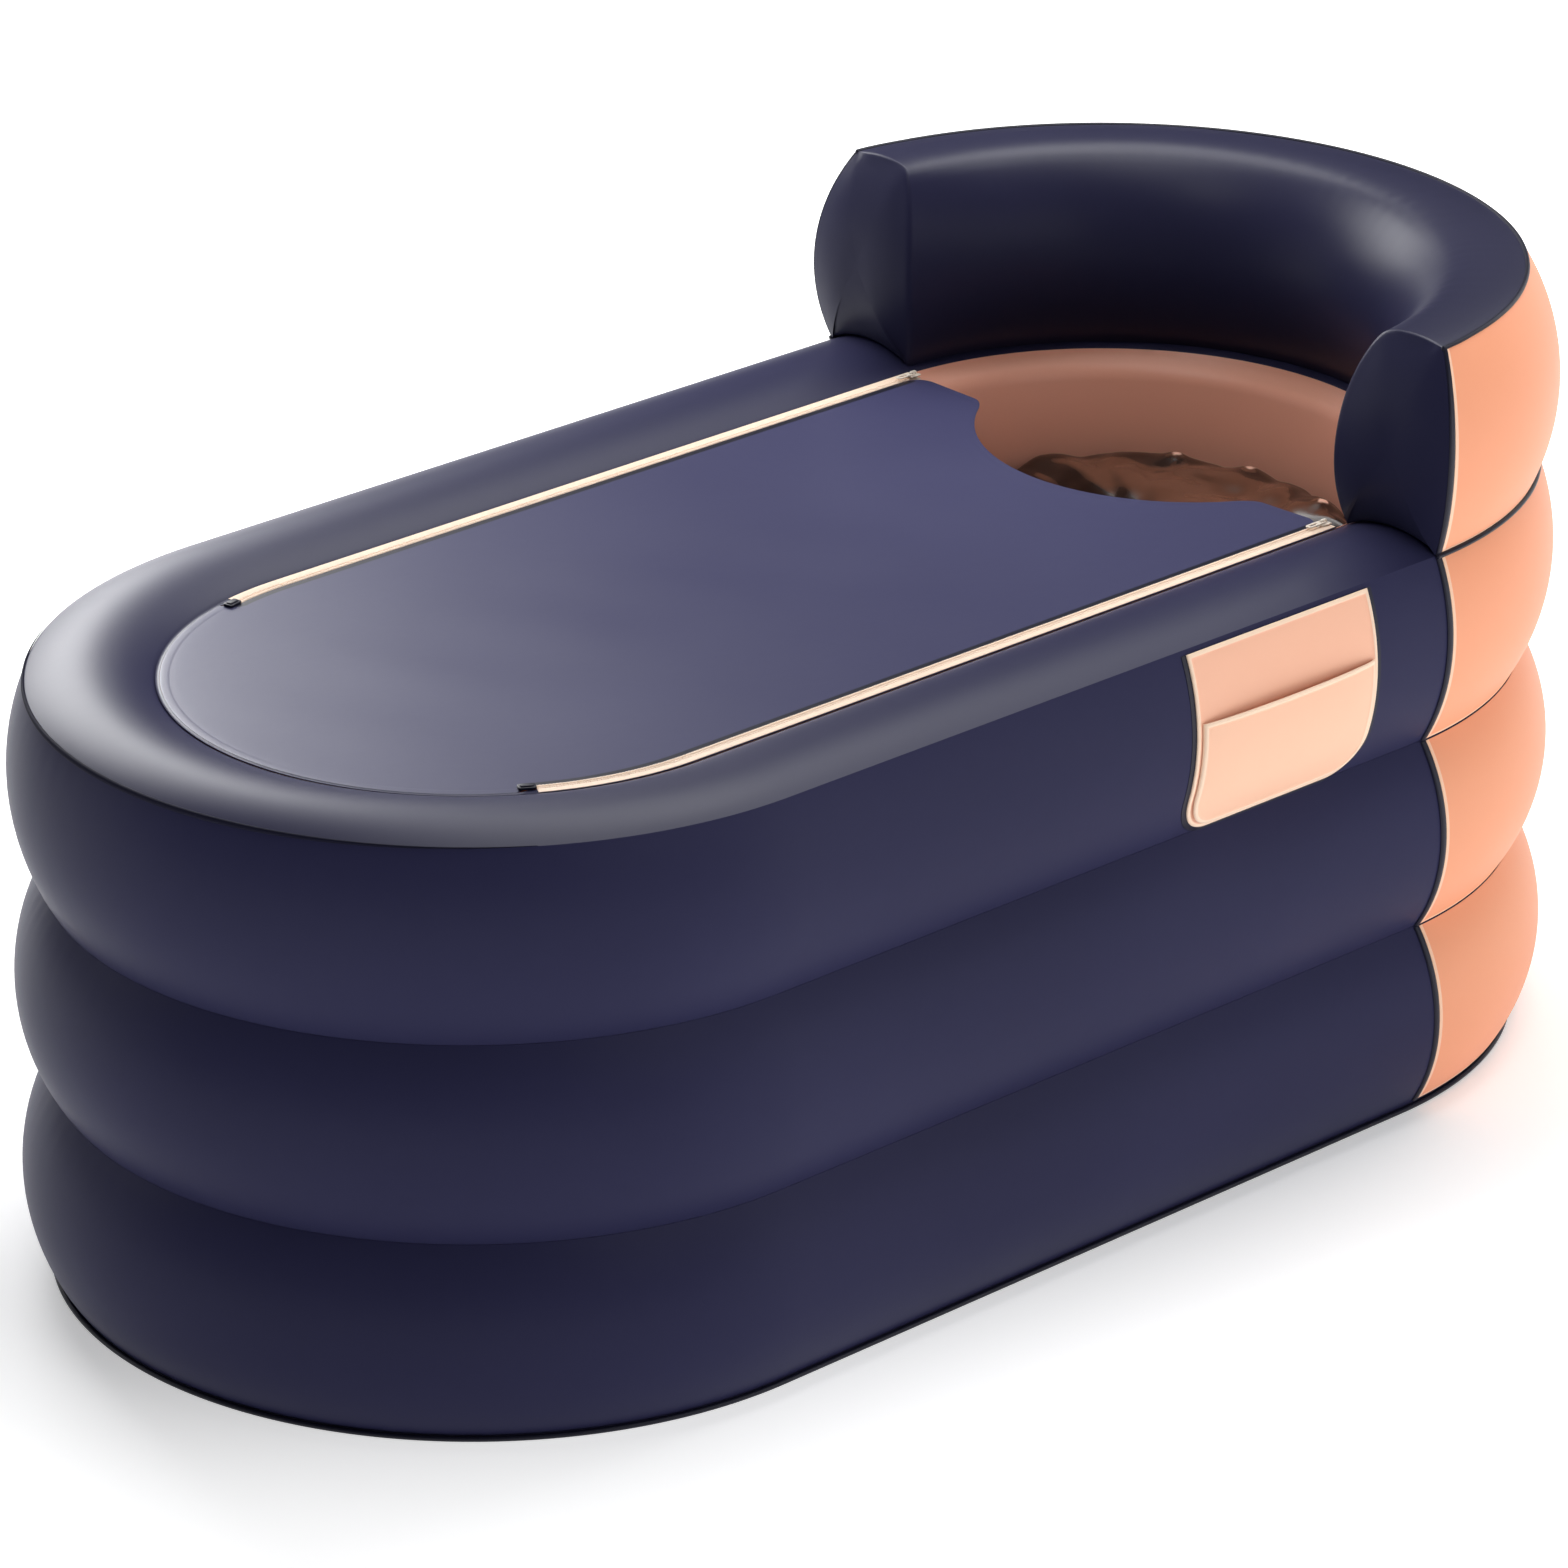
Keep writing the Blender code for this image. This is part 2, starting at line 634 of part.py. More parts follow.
def build_chambers():
    lower = build_ring("lower_ring", plain_ring_section(FLOOR_TOP, LOWER_TOP - GAP / 2))
    middle = build_ring("middle_ring", plain_ring_section(LOWER_TOP + GAP / 2, MIDDLE_TOP - GAP / 2))
    upper = build_ring("upper_ring", upper_ring_section(MIDDLE_TOP + GAP / 2))
    for name, ring, tier in (("lower", lower, 0), ("middle", middle, 1), ("upper", upper, 2)):
        height = tier * TIER_HEIGHT + TIER_HEIGHT / 2
        build_valve(name, (VALVE_X, END_RADIUS + GAP, height), (0, 1, 0), [ring])
    build_drain(lower)


def build_backrest(panel):
    section = backrest_section()
    end_wall = BACKREST_END_WALL / END_RADIUS
    void_spans = (
        (HEAD_STEP - end_wall, 1),
        ((END_STEPS - 2) * HEAD_STEP, END_STEPS - 2),
        (HEAD_STEP - end_wall, 1),
    )
    outer = sweep_end(section, HALF_STRAIGHT, HEAD_MARGIN, BACKREST_SPANS)
    inner = sweep_end(inward(section, SKIN), HALF_STRAIGHT, HEAD_MARGIN + end_wall, void_spans)
    chamber = hollow(bow_ends(outer), "backrest", NAVY, bow_ends(inner))
    middle = backrest_outer_arc()[OUTER_ARC_STEPS // 2]
    angle = BACKREST_VALVE_ANGLE
    reach = END_RADIUS - middle[0] + PANEL_STAND_OFF + PANEL_THICKNESS
    outward = Vector((math.cos(angle), math.sin(angle), 0))
    place = Vector((HALF_STRAIGHT, 0, middle[1])) + outward * reach
    build_valve("backrest", place, outward, [chamber, panel])
    welt_inset = SHOULDER_INSET - BACKREST_WELT_RADIUS - GAP
    bm = sweep_end(
        round_section(welt_inset, SHOULDER_HEIGHT + GAP, BACKREST_WELT_RADIUS),
        HALF_STRAIGHT, HEAD_MARGIN, BACKREST_SPANS
    )
    add_object("backrest_welt", mesh_from(bm, "backrest_welt"), NAVY_DARK)


def trimmed(arc, bottom_cut, top_cut):
    """An arc without its ends, cut at two heights inside its own run."""
    low = arc[0][1] + bottom_cut
    high = arc[-1][1] - top_cut
    points = [point_at(arc, low)]
    points += [p for p in arc if low < p[1] < high]
    points.append(point_at(arc, high))
    return points


def point_at(arc, height):
    for (x0, z0), (x1, z1) in zip(arc, arc[1:]):
        if z0 <= height <= z1:
            return (x0 + (x1 - x0) * (height - z0) / (z1 - z0), height)
    return arc[-1]


def skin_strip(arc, stand_off, thickness):
    """A closed section that lies over an outer arc like a second skin."""
    count = len(arc)
    inner = []
    outer = []
    for k, point in enumerate(arc):
        ahead = Vector(arc[min(k + 1, count - 1)])
        behind = Vector(arc[max(k - 1, 0)])
        along = (ahead - behind).normalized()
        out = Vector((-along.y, along.x))
        inner.append(tuple(Vector(point) + out * stand_off))
        outer.append(tuple(Vector(point) + out * (stand_off + thickness)))
    return inner + list(reversed(outer))


def build_head_panels():
    """Peach outer panels round the head end, and the dark tapes down their edges."""
    over_welt = 2 * BASE_WELT_RADIUS + PANEL_END_GAP
    levels = (
        ("lower", trimmed(outer_arc(FLOOR_TOP, LOWER_TOP), over_welt, PANEL_END_GAP)),
        ("middle", trimmed(outer_arc(LOWER_TOP, MIDDLE_TOP), PANEL_END_GAP, PANEL_END_GAP)),
        ("upper", trimmed(upper_outer_arc(MIDDLE_TOP), PANEL_END_GAP, PANEL_END_GAP)),
        ("backrest", trimmed(backrest_outer_arc(), PANEL_END_GAP, GAP)),
    )
    tape = PANEL_TAPE_WIDTH / END_RADIUS
    first = HEAD_STEP - tape - GAP / END_RADIUS
    panel_spans = ((first, 1), ((END_STEPS - 2) * HEAD_STEP, END_STEPS - 2), (first, 1))
    panel_start = HEAD_MARGIN + HEAD_STEP - first
    panels = {}
    for level, arc in levels:
        section = skin_strip(arc, PANEL_STAND_OFF, PANEL_THICKNESS)
        name = level + "_head_panel"
        bm = bow_ends(sweep_end(section, HALF_STRAIGHT, panel_start, panel_spans))
        panels[level] = add_object(name, mesh_from(bm, name), PEACH)
        for side, from_angle in (("near", HEAD_MARGIN), ("far", math.pi - HEAD_MARGIN - tape)):
            name = level + "_panel_tape_" + side
            bm = bow_ends(sweep_end(section, HALF_STRAIGHT, from_angle, ((tape, 1),)))
            add_object(name, mesh_from(bm, name), NAVY_DARK)
    return panels


def build_shoulder_bead():
    along = Vector(crown_arc()[1]) - Vector(crown_arc()[0])
    out = Vector((-along.y, along.x)).normalized()
    centre = Vector(crown_arc()[0]) + out * (SHOULDER_BEAD_RADIUS + GAP)
    steps = END_STEPS - 2 * SHOULDER_BEAD_SKIP_STEPS
    bm = sweep_end(
        round_section(centre.x, centre.y, SHOULDER_BEAD_RADIUS, THIN_BEAD_STEPS), -HALF_STRAIGHT,
        -SHOULDER_BEAD_SKIP_STEPS * FOOT_STEP, ((-steps * FOOT_STEP, steps),)
    )
    add_object("shoulder_seam_bead", mesh_from(bm, "shoulder_seam_bead"), NAVY)


# Liner and drain

def inner_arc(bottom, top):
    """The inner wall of a tier, listed from its bottom crease upwards."""
    arc = arc_between((INNER_INSET, top), (INNER_INSET, bottom), INNER_BULGE, INNER_ARC_STEPS)
    return arc[::-1]


def build_liner():
    """The sheet that makes the bath watertight: a wall round the inside and a floor."""
    rim_top = RIM_SEAM_HEIGHT - LINER_TOP_DROP
    tiers = inner_arc(FLOOR_TOP, LOWER_TOP)[:-1] + inner_arc(LOWER_TOP, MIDDLE_TOP)[:-1]
    tiers += inner_arc(MIDDLE_TOP, rim_top)
    outer = [(x + LINER_STAND_OFF, z) for x, z in tiers]
    inner = [(x + LINER_STAND_OFF + LINER_THICKNESS, z) for x, z in reversed(tiers)]
    add_object("liner_wall", mesh_from(sweep_round(outer + inner), "liner_wall"), PEACH_LINER)
    edge = LINER_FACE_INSET + GAP
    flat_plate(
        "liner_floor", stadium_points(edge), FLOOR_TOP, LINER_THICKNESS, PEACH_LINER, SATIN_SHARE
    )


def build_drain(lower_ring):
    height = (FLOOR_TOP + LOWER_TOP) / 2
    length = LINER_FACE_INSET + GAP
    hole = cylinder_cutter(
        "drain_hole", DRAIN_TUBE_RADIUS + GAP, length + 2 * CUT_OVERRUN,
        (DRAIN_X, END_RADIUS - length / 2, height), (0, 1, 0)
    )
    cut(lower_ring, hole)
    cut(bpy.data.objects["liner_wall"], hole)
    tube = turned(
        "drain_tube",
        [
            (DRAIN_BORE_RADIUS, GAP + DRAIN_FLANGE_THICKNESS),
            (DRAIN_FLANGE_RADIUS, GAP + DRAIN_FLANGE_THICKNESS),
            (DRAIN_FLANGE_RADIUS, GAP),
            (DRAIN_TUBE_RADIUS, GAP),
            (DRAIN_TUBE_RADIUS, -length),
            (DRAIN_FLANGE_RADIUS, -length),
            (DRAIN_FLANGE_RADIUS, -length - DRAIN_FLANGE_THICKNESS),
            (DRAIN_BORE_RADIUS, -length - DRAIN_FLANGE_THICKNESS),
        ],
        CLEAR_VINYL, CLEAR_SHARE
    )
    point_along(tube, (DRAIN_X, END_RADIUS, height), (0, 1, 0))
    plug = DRAIN_BORE_RADIUS - PLUG_CLEARANCE
    ends = (
        ("drain_cap", END_RADIUS + GAP + DRAIN_FLANGE_THICKNESS + GAP, 1),
        ("drain_plug", END_RADIUS - length - DRAIN_FLANGE_THICKNESS - GAP, -1),
    )
    for name, seat, sign in ends:
        stopper = turned(
            name,
            [
                (0, DRAIN_CAP_THICKNESS),
                (DRAIN_CAP_RADIUS, DRAIN_CAP_THICKNESS),
                (DRAIN_CAP_RADIUS, 0),
                (plug, 0),
                (plug, -DRAIN_PLUG_LENGTH),
                (0, -DRAIN_PLUG_LENGTH),
            ],
            NAVY
        )
        point_along(stopper, (DRAIN_X, seat, height), (0, sign, 0))


# Cover and zips

def rounded_corner(corner, before, after, radius, steps=CORNER_STEPS):
    """Points that round the corner between two neighbouring points."""
    corner = Vector(corner)
    to_before = (Vector(before) - corner).normalized()
    to_after = (Vector(after) - corner).normalized()
    half = to_before.angle(to_after) / 2
    reach = radius / math.tan(half)
    centre = corner + (to_before + to_after).normalized() * (radius / math.sin(half))
    start = corner + to_before * reach - centre
    end = corner + to_after * reach - centre
    points = []
    for k in range(steps + 1):
        share = k / steps
        points.append(tuple(centre + start.slerp(end, share).normalized() * radius))
    return points


def scoop_points(half_width):
    """The neck scoop in the head edge, from the -Y side to the +Y side."""
    deepest = COVER_HEAD_X - SCOOP_DEPTH
    centre_x = deepest + SCOOP_RADIUS
    half = math.acos((centre_x - COVER_HEAD_X) / SCOOP_RADIUS)
    points = []
    for k in range(SCOOP_STEPS + 1):
        angle = -half + 2 * half * k / SCOOP_STEPS
        points.append((centre_x - SCOOP_RADIUS * math.cos(angle), SCOOP_RADIUS * math.sin(angle)))
    lower_corner = rounded_corner(
        points[0], (COVER_HEAD_X, -half_width), points[1], SCOOP_CORNER_RADIUS
    )
    upper_corner = rounded_corner(
        points[-1], points[-2], (COVER_HEAD_X, half_width), SCOOP_CORNER_RADIUS
    )
    return lower_corner + points[2:-2] + upper_corner


def build_cover():
    half_width = END_RADIUS - COVER_EDGE_INSET
    start_x = COVER_FOLD_X + GAP
    near_tab = rounded_corner(
        (COVER_HEAD_X, -half_width), (start_x, -half_width), (COVER_HEAD_X, 0), TAB_CORNER_RADIUS
    )
    far_tab = [(x, -y) for x, y in reversed(near_tab)]
    outline = [(start_x, -half_width)] + near_tab + scoop_points(half_width) + far_tab
    outline.append((start_x, half_width))
    head = flat_plate("cover_head_flap", outline, COVER_BOTTOM, COVER_THICKNESS, NAVY_COVER)
    middle = flat_plate(
        "cover_middle_flap",
        [
            (COVER_HINGE_X + GAP, -half_width),
            (COVER_FOLD_X - GAP, -half_width),
            (COVER_FOLD_X - GAP, half_width),
            (COVER_HINGE_X + GAP, half_width),
        ],
        COVER_BOTTOM, COVER_THICKNESS, NAVY_COVER
    )
    far_end, near_end = zip_end_angles()
    points = arc_run(half_width, math.pi / 2, far_end)
    points += arc_run(COVER_FOOT_RADIUS, far_end, near_end)
    points += arc_run(half_width, near_end, 3 * math.pi / 2)
    edge_x = COVER_HINGE_X - GAP
    points = [(edge_x, half_width)] + [p for p in points if p[0] < edge_x] + [(edge_x, -half_width)]
    flat_plate("cover_foot", points, COVER_BOTTOM, COVER_THICKNESS, NAVY_COVER)
    set_pivot(middle, (COVER_HINGE_X, 0, FOLD_AXIS_HEIGHT))
    set_pivot(head, (COVER_FOLD_X, 0, FOLD_AXIS_HEIGHT))


def zip_end_angles():
    """Plan angles past the far and the near end stop."""
    far_end = math.pi / 2 + FAR_ZIP_END_ANGLE + stop_angle()
    near_end = 3 * math.pi / 2 - NEAR_ZIP_END_ANGLE - stop_angle()
    return far_end, near_end


def set_pivot(item, pivot):
    """Moves a piece's origin onto its joint's axis without moving the piece."""
    item.data.transform(Matrix.Translation(-Vector(pivot)))
    item.location = pivot


def build_rim_flange():
    """The welded strip round the rim that carries the zips and the cover's foot edge."""
    outer = END_RADIUS - RIM_INSET - GAP
    side = END_RADIUS - FLANGE_EDGE_INSET
    foot = COVER_FOOT_RADIUS + GAP
    far_end, near_end = zip_end_angles()
    points = [(COVER_HEAD_X, outer)]
    for k in range(END_STEPS + 1):
        angle = math.pi / 2 + FOOT_STEP * k
        points.append((-HALF_STRAIGHT + outer * math.cos(angle), outer * math.sin(angle)))
    points.append((COVER_HEAD_X, -outer))
    points.append((COVER_HEAD_X, -side))
    points += arc_run(side, 3 * math.pi / 2, near_end)
    points += arc_run(foot, near_end, far_end)
    points += arc_run(side, far_end, math.pi / 2)
    points.append((COVER_HEAD_X, side))
    flat_plate(
        "rim_flange", points, COVER_HEIGHT - FLANGE_THICKNESS / 2, FLANGE_THICKNESS, NAVY, SATIN_SHARE
    )


def arc_run(radius, start, end):
    """Points round the foot end from one angle to another."""
    steps = math.ceil(abs(end - start) / FINE_STEP)
    points = []
    for k in range(steps + 1):
        angle = start + (end - start) * k / steps
        points.append((-HALF_STRAIGHT + radius * math.cos(angle), radius * math.sin(angle)))
    return points


def stop_angle():
    """The angle that an end stop takes up round the foot end."""
    return STOP_LENGTH / (END_RADIUS - ZIP_INSET)


def chain_section(side_of_gap):
    """A half chain on the rim's side (-1) or the cover's side (+1) of the gap."""
    near_edge = ZIP_INSET + side_of_gap * CHAIN_GAP / 2
    far_edge = near_edge + side_of_gap * CHAIN_WIDTH
    low = COVER_HEIGHT - CHAIN_HEIGHT / 2
    high = COVER_HEIGHT + CHAIN_HEIGHT / 2
    return [(near_edge, low), (far_edge, low), (far_edge, high), (near_edge, high)]


def sweep_side(name, section, side, from_x, to_x, end_angle, colour):
    """A closed section run along one side, and on round the foot end if it has an angle."""
    bm = bmesh.new()
    verts, edges = section_loop(bm, section, from_x, 0.0 if side < 0 else math.pi)
    bm.faces.new(verts)
    verts, edges = run_straight(bm, edges, to_x - from_x)
    if end_angle > 0:
        turn_round(bm, verts, edges, to_x, ((side * end_angle, math.ceil(end_angle / FINE_STEP)),))
    bmesh.ops.holes_fill(bm, edges=[e for e in bm.edges if e.is_boundary], sides=0)
    return add_object(name, mesh_from(bm, name), colour, MATT_SHARE)


def build_chains():
    sides = (("near", -1, NEAR_ZIP_END_ANGLE), ("far", 1, FAR_ZIP_END_ANGLE))
    rim_row = chain_section(-1)
    cover_row = chain_section(1)
    hinge_x = COVER_HINGE_X + GAP
    for name, side, end_angle in sides:
        sweep_side(name + "_chain_rim", rim_row, side, COVER_HEAD_X, -HALF_STRAIGHT, end_angle, CREAM)
        build_foot_row(name + "_chain_foot", cover_row, side, end_angle)
        middle = sweep_side(name + "_chain_middle", cover_row, side, COVER_FOLD_X - GAP, hinge_x, 0, CREAM)
        head = sweep_side(name + "_chain_head", cover_row, side, ZIP_HEAD_X, COVER_FOLD_X + GAP, 0, CREAM)
        set_pivot(middle, (COVER_HINGE_X, 0, FOLD_AXIS_HEIGHT))
        set_pivot(head, (COVER_FOLD_X, 0, FOLD_AXIS_HEIGHT))
        build_stop(name, side, end_angle)


def build_foot_row(name, section, side, end_angle):
    """The cover's half chain round its fixed foot end."""
    seam = GAP / (END_RADIUS - ZIP_INSET)
    start = math.pi * (side > 0) + side * seam
    steps = math.ceil(end_angle / FINE_STEP)
    bm = sweep_end(section, -HALF_STRAIGHT, start, ((side * (end_angle - seam), steps),))
    add_object(name, mesh_from(bm, name), CREAM, MATT_SHARE)


def build_stop(name, side, end_angle):
    """The dark end stop that closes the foot end of a zip."""
    low = COVER_TOP + GAP
    section = [
        (ZIP_INSET - STOP_WIDTH / 2, low),
        (ZIP_INSET + STOP_WIDTH / 2, low),
        (ZIP_INSET + STOP_WIDTH / 2, low + STOP_HEIGHT),
        (ZIP_INSET - STOP_WIDTH / 2, low + STOP_HEIGHT),
    ]
    start = math.pi * (side > 0) + side * (end_angle + GAP / END_RADIUS)
    bm = sweep_end(section, -HALF_STRAIGHT, start, ((side * stop_angle(), STOP_STEPS),))
    add_object(name + "_zip_stop", mesh_from(bm, name + "_zip_stop"), NAVY_DARK)


def box(name, size, centre, collection=CUTTERS):
    bm = bmesh.new()
    stretch = Matrix.Translation(centre) @ Matrix.Diagonal((*size, 1.0))
    bmesh.ops.create_cube(bm, size=1.0, matrix=stretch)
    return add_object(name, mesh_from(bm, name), collection=collection)


def join_solid(item, other):
    step = item.modifiers.new("join_" + other.name, "BOOLEAN")
    step.operation = "UNION"
    step.solver = "EXACT"
    step.object = as_cutter(other)


def build_slider(name, side):
    """A two-plate slider with a bridge, parked at the head end of its zip."""
    y = side * (END_RADIUS - ZIP_INSET)
    x = slider_park_x()
    plate_low = CHAIN_HEIGHT / 2 + SLIDER_CLEARANCE
    plate_mid = plate_low + SLIDER_PLATE / 2
    plate_size = (SLIDER_LENGTH, SLIDER_WIDTH, SLIDER_PLATE)
    body = box(name + "_slider", plate_size, (0, 0, plate_mid), PARTS)
    body.data.materials.append(make_material(name + "_slider", IVORY, MOULDED_SHARE))
    lower_plate = box(name + "_lower_plate", plate_size, (0, 0, -plate_mid))
    join_solid(body, lower_plate)
    post_x = (SLIDER_LENGTH - SLIDER_POST_LENGTH) / 2 - SLIDER_FACE_STEP
    post = box(name + "_post", (SLIDER_POST_LENGTH, SLIDER_POST_WIDTH, 2 * plate_mid), (post_x, 0, 0))
    join_solid(body, post)
    top = plate_low + SLIDER_PLATE
    leg_x = (BRIDGE_LENGTH - BRIDGE_BAR) / 2
    leg_height = BRIDGE_HEIGHT + SLIDER_PLATE / 2
    for number, sign in enumerate((-1, 1)):
        leg = box(
            f"{name}_leg_{number}", (BRIDGE_BAR, BRIDGE_WIDTH, leg_height),
            (sign * leg_x, 0, top + BRIDGE_HEIGHT - leg_height / 2)
        )
        join_solid(body, leg)
    bar = box(
        name + "_bar", (BRIDGE_LENGTH - BRIDGE_BAR, BRIDGE_WIDTH - SLIDER_FACE_STEP, BRIDGE_BAR),
        (0, 0, top + BRIDGE_HEIGHT - (BRIDGE_BAR + SLIDER_FACE_STEP) / 2)
    )
    join_solid(body, bar)
    place = Vector((x, y, COVER_HEIGHT))
    for item in [body] + [m.object for m in body.modifiers]:
        item.location = place
    build_pull(name, place + Vector((0, 0, pull_axis_rise())))


def slider_park_x():
    return ZIP_HEAD_X + SLIDER_LENGTH / 2 + SLIDER_PARK_GAP


def pull_axis_rise():
    """Height of the pull's hinge above the middle of the chain."""
    return CHAIN_HEIGHT / 2 + SLIDER_CLEARANCE + SLIDER_PLATE + PULL_THICKNESS


def build_pull(name, place):
    """A pull tab whose end bar lies under the slider's bridge; it rests towards the foot."""
    tab = box(
        name + "_pull", (PULL_LENGTH, PULL_WIDTH, PULL_THICKNESS),
        (PULL_THICKNESS / 2 - PULL_LENGTH / 2, 0, 0), PARTS
    )
    tab.data.materials.append(make_material(name + "_pull", IVORY, MOULDED_SHARE))
    reach = math.hypot(BRIDGE_LENGTH / 2, BRIDGE_HEIGHT - PULL_THICKNESS) + PULL_SLOT_CLEARANCE
    window_length = reach - PULL_THICKNESS / 2
    window = box(
        name + "_window", (window_length, BRIDGE_WIDTH + 2 * PULL_SLOT_CLEARANCE, 3 * PULL_THICKNESS),
        (-PULL_THICKNESS / 2 - window_length / 2, 0, 0)
    )
    cut(tab, as_cutter(window))
    tab.location = place
    window.location = place


# Pocket

def skin_point(height, stand_off):
    """A point over the top ring's outer wall: (inset, height) at a height and stand-off."""
    start = Vector((CREASE_INSET, MIDDLE_TOP))
    end = Vector((SHOULDER_INSET, SHOULDER_HEIGHT))
    chord = (end - start).length
    radius = (chord * chord / 4 + SHOULDER_BULGE * SHOULDER_BULGE) / (2 * SHOULDER_BULGE)
    along = (end - start).normalized()
    centre = (start + end) / 2 - Vector((-along.y, along.x)) * (radius - SHOULDER_BULGE)
    sine = (height - centre.y) / radius
    reach = radius + stand_off
    return centre.x - reach * math.sqrt(1 - sine * sine), centre.y + reach * sine


def corner_lift(x, start, end, radius):
    """How far a rounded lower corner lifts the edge at x."""
    from_side = min(x - start, end - x)
    if from_side >= radius:
        return 0.0
    across = radius - max(from_side, 0.0)
    return radius - math.sqrt(max(radius * radius - across * across, 0.0))


def fitted_sheet(name, x_start, x_end, bottom, top, corner_radius, rows, stand_off, colour):
    """A sheet that lies over the top ring's wall, with rounded lower corners."""
    bm = bmesh.new()
    grid = []
    for column in range(POCKET_COLUMNS + 1):
        share = 0.5 - 0.5 * math.cos(math.pi * column / POCKET_COLUMNS)
        x = x_start + (x_end - x_start) * share
        low = bottom + corner_lift(x, x_start, x_end, corner_radius)
        line = []
        for row in range(rows + 1):
            height = low + (top - low) * row / rows
            inset, z = skin_point(height, stand_off(share, row / rows))
            line.append(bm.verts.new((x, -(END_RADIUS - inset), z)))
        grid.append(line)
    for left, right in zip(grid, grid[1:]):
        for row in range(rows):
            bm.faces.new((left[row], right[row], right[row + 1], left[row + 1]))
    mesh = bpy.data.meshes.new(name)
    bm.to_mesh(mesh)
    bm.free()
    mesh.shade_smooth()
    item = add_object(name, mesh, colour)
    shell = item.modifiers.new("thickness", "SOLIDIFY")
    shell.thickness = POCKET_SHEET
    shell.offset = 1.0
    return item


def build_pocket():
    fitted_sheet(
        "pocket_back", POCKET_X_START, POCKET_X_END, POCKET_BOTTOM, POCKET_TOP, POCKET_CORNER_RADIUS,
        POCKET_ROWS, lambda across, up: POCKET_STAND_OFF, PEACH
    )
    over_back = POCKET_STAND_OFF + POCKET_SHEET + POCKET_STAND_OFF

    def pouch_stand_off(across, up):
        swell = math.sin(math.pi * min(max(across, 0.0), 1.0)) * up
        return over_back + POUCH_DEPTH * math.sqrt(max(swell, 0.0))

    fitted_sheet(
        "pocket_pouch", POCKET_X_START + POUCH_INSET, POCKET_X_END - POUCH_INSET,
        POCKET_BOTTOM + POUCH_INSET, POCKET_MOUTH, POCKET_CORNER_RADIUS - POUCH_INSET,
        POUCH_ROWS, pouch_stand_off, PEACH_LIGHT
    )


# Cushions

def toward_spine(point, spine, distance):
    """A plan point moved towards the nearest point of a cushion's spine."""
    here = Vector(point)
    start = Vector(spine[0])
    end = Vector(spine[1])
    along = end - start
    share = min(max((here - start).dot(along) / along.length_squared, 0.0), 1.0)
    target = start + along * share
    full = (target - here).length
    return here + (target - here) * min(distance / full, 1.0), full


def side_levels(bottom, skin):
    """(drawn in, height) of the tucked underside and the foot of the side walls."""
    return [(CUSHION_TUCK, bottom + skin), (skin, bottom + CUSHION_TUCK)]


def edge_levels(skin):
    """(drawn in, drop) down the round upper edge, from the side walls inwards."""
    levels = []
    for step in range(CUSHION_EDGE_STEPS + 1):
        angle = math.pi / 2 * step / CUSHION_EDGE_STEPS
        radius = CUSHION_EDGE_RADIUS - skin
        levels.append((skin + radius * (1 - math.cos(angle)), radius * (1 - math.sin(angle))))
    return levels


def cushion_skin(outline, spine, bottom, rise, skin):
    """A cushion's skin: tucked in below, upright sides, a round edge and a flat crown."""
    bm = bmesh.new()
    loops = []
    for distance, height in side_levels(bottom, skin):
        places = [toward_spine(point, spine, distance)[0] for point in outline]
        loops.append([bm.verts.new((place.x, place.y, height)) for place in places])
    for distance, drop in edge_levels(skin):
        places = [toward_spine(point, spine, distance)[0] for point in outline]
        loops.append([bm.verts.new((p.x, p.y, bottom + rise(p.x) - skin - drop)) for p in places])
    for step in range(CUSHION_CROWN_STEPS):
        share = (step + 1) / CUSHION_CROWN_STEPS
        loop = []
        for point in outline:
            full = toward_spine(point, spine, 0)[1]
            distance = CUSHION_EDGE_RADIUS + (full - CUSHION_EDGE_RADIUS) * share
            place = toward_spine(point, spine, distance)[0]
            loop.append(bm.verts.new((place.x, place.y, bottom + rise(place.x) - skin)))
        loops.append(loop)
    count = len(outline)
    for lower, upper in zip(loops, loops[1:]):
        for k in range(count):
            after = (k + 1) % count
            bm.faces.new((lower[k], lower[after], upper[after], upper[k]))
    bm.faces.new(list(reversed(loops[0])))
    bmesh.ops.remove_doubles(bm, verts=bm.verts, dist=MERGE_DISTANCE)
    return bm


def build_cushion(name, outline, spine, bottom, rise, colour):
    outer = cushion_skin(outline, spine, bottom, rise, 0.0)
    inner = cushion_skin(outline, spine, bottom, rise, SKIN)
    return hollow(outer, name, colour, inner)


def dee_outline(centre_x, radius, straight_x, side_steps):
    """A half-round end, two straight sides and a straight front with round corners."""
    sign = 1 if straight_x > centre_x else -1
    arc = []
    for k in range(END_STEPS + 1):
        angle = math.pi / 2 + math.pi * k / END_STEPS
        arc.append((centre_x + sign * radius * math.cos(angle), radius * math.sin(angle)))
    side_start = arc[-1][0]
    side_run = straight_x - sign * CUSHION_CORNER_RADIUS - side_start
    side = [(side_start + side_run * k / side_steps, -radius) for k in range(1, side_steps)]
    corner = rounded_corner(
        (straight_x, -radius), (centre_x, -radius), (straight_x, 0),
        CUSHION_CORNER_RADIUS, CUSHION_FRONT_CORNER_STEPS
    )
    lower_half = side + corner
    upper_half = [(x, -y) for x, y in reversed(lower_half)]
    outline = arc + lower_half + upper_half
    return outline if sign > 0 else list(reversed(outline))


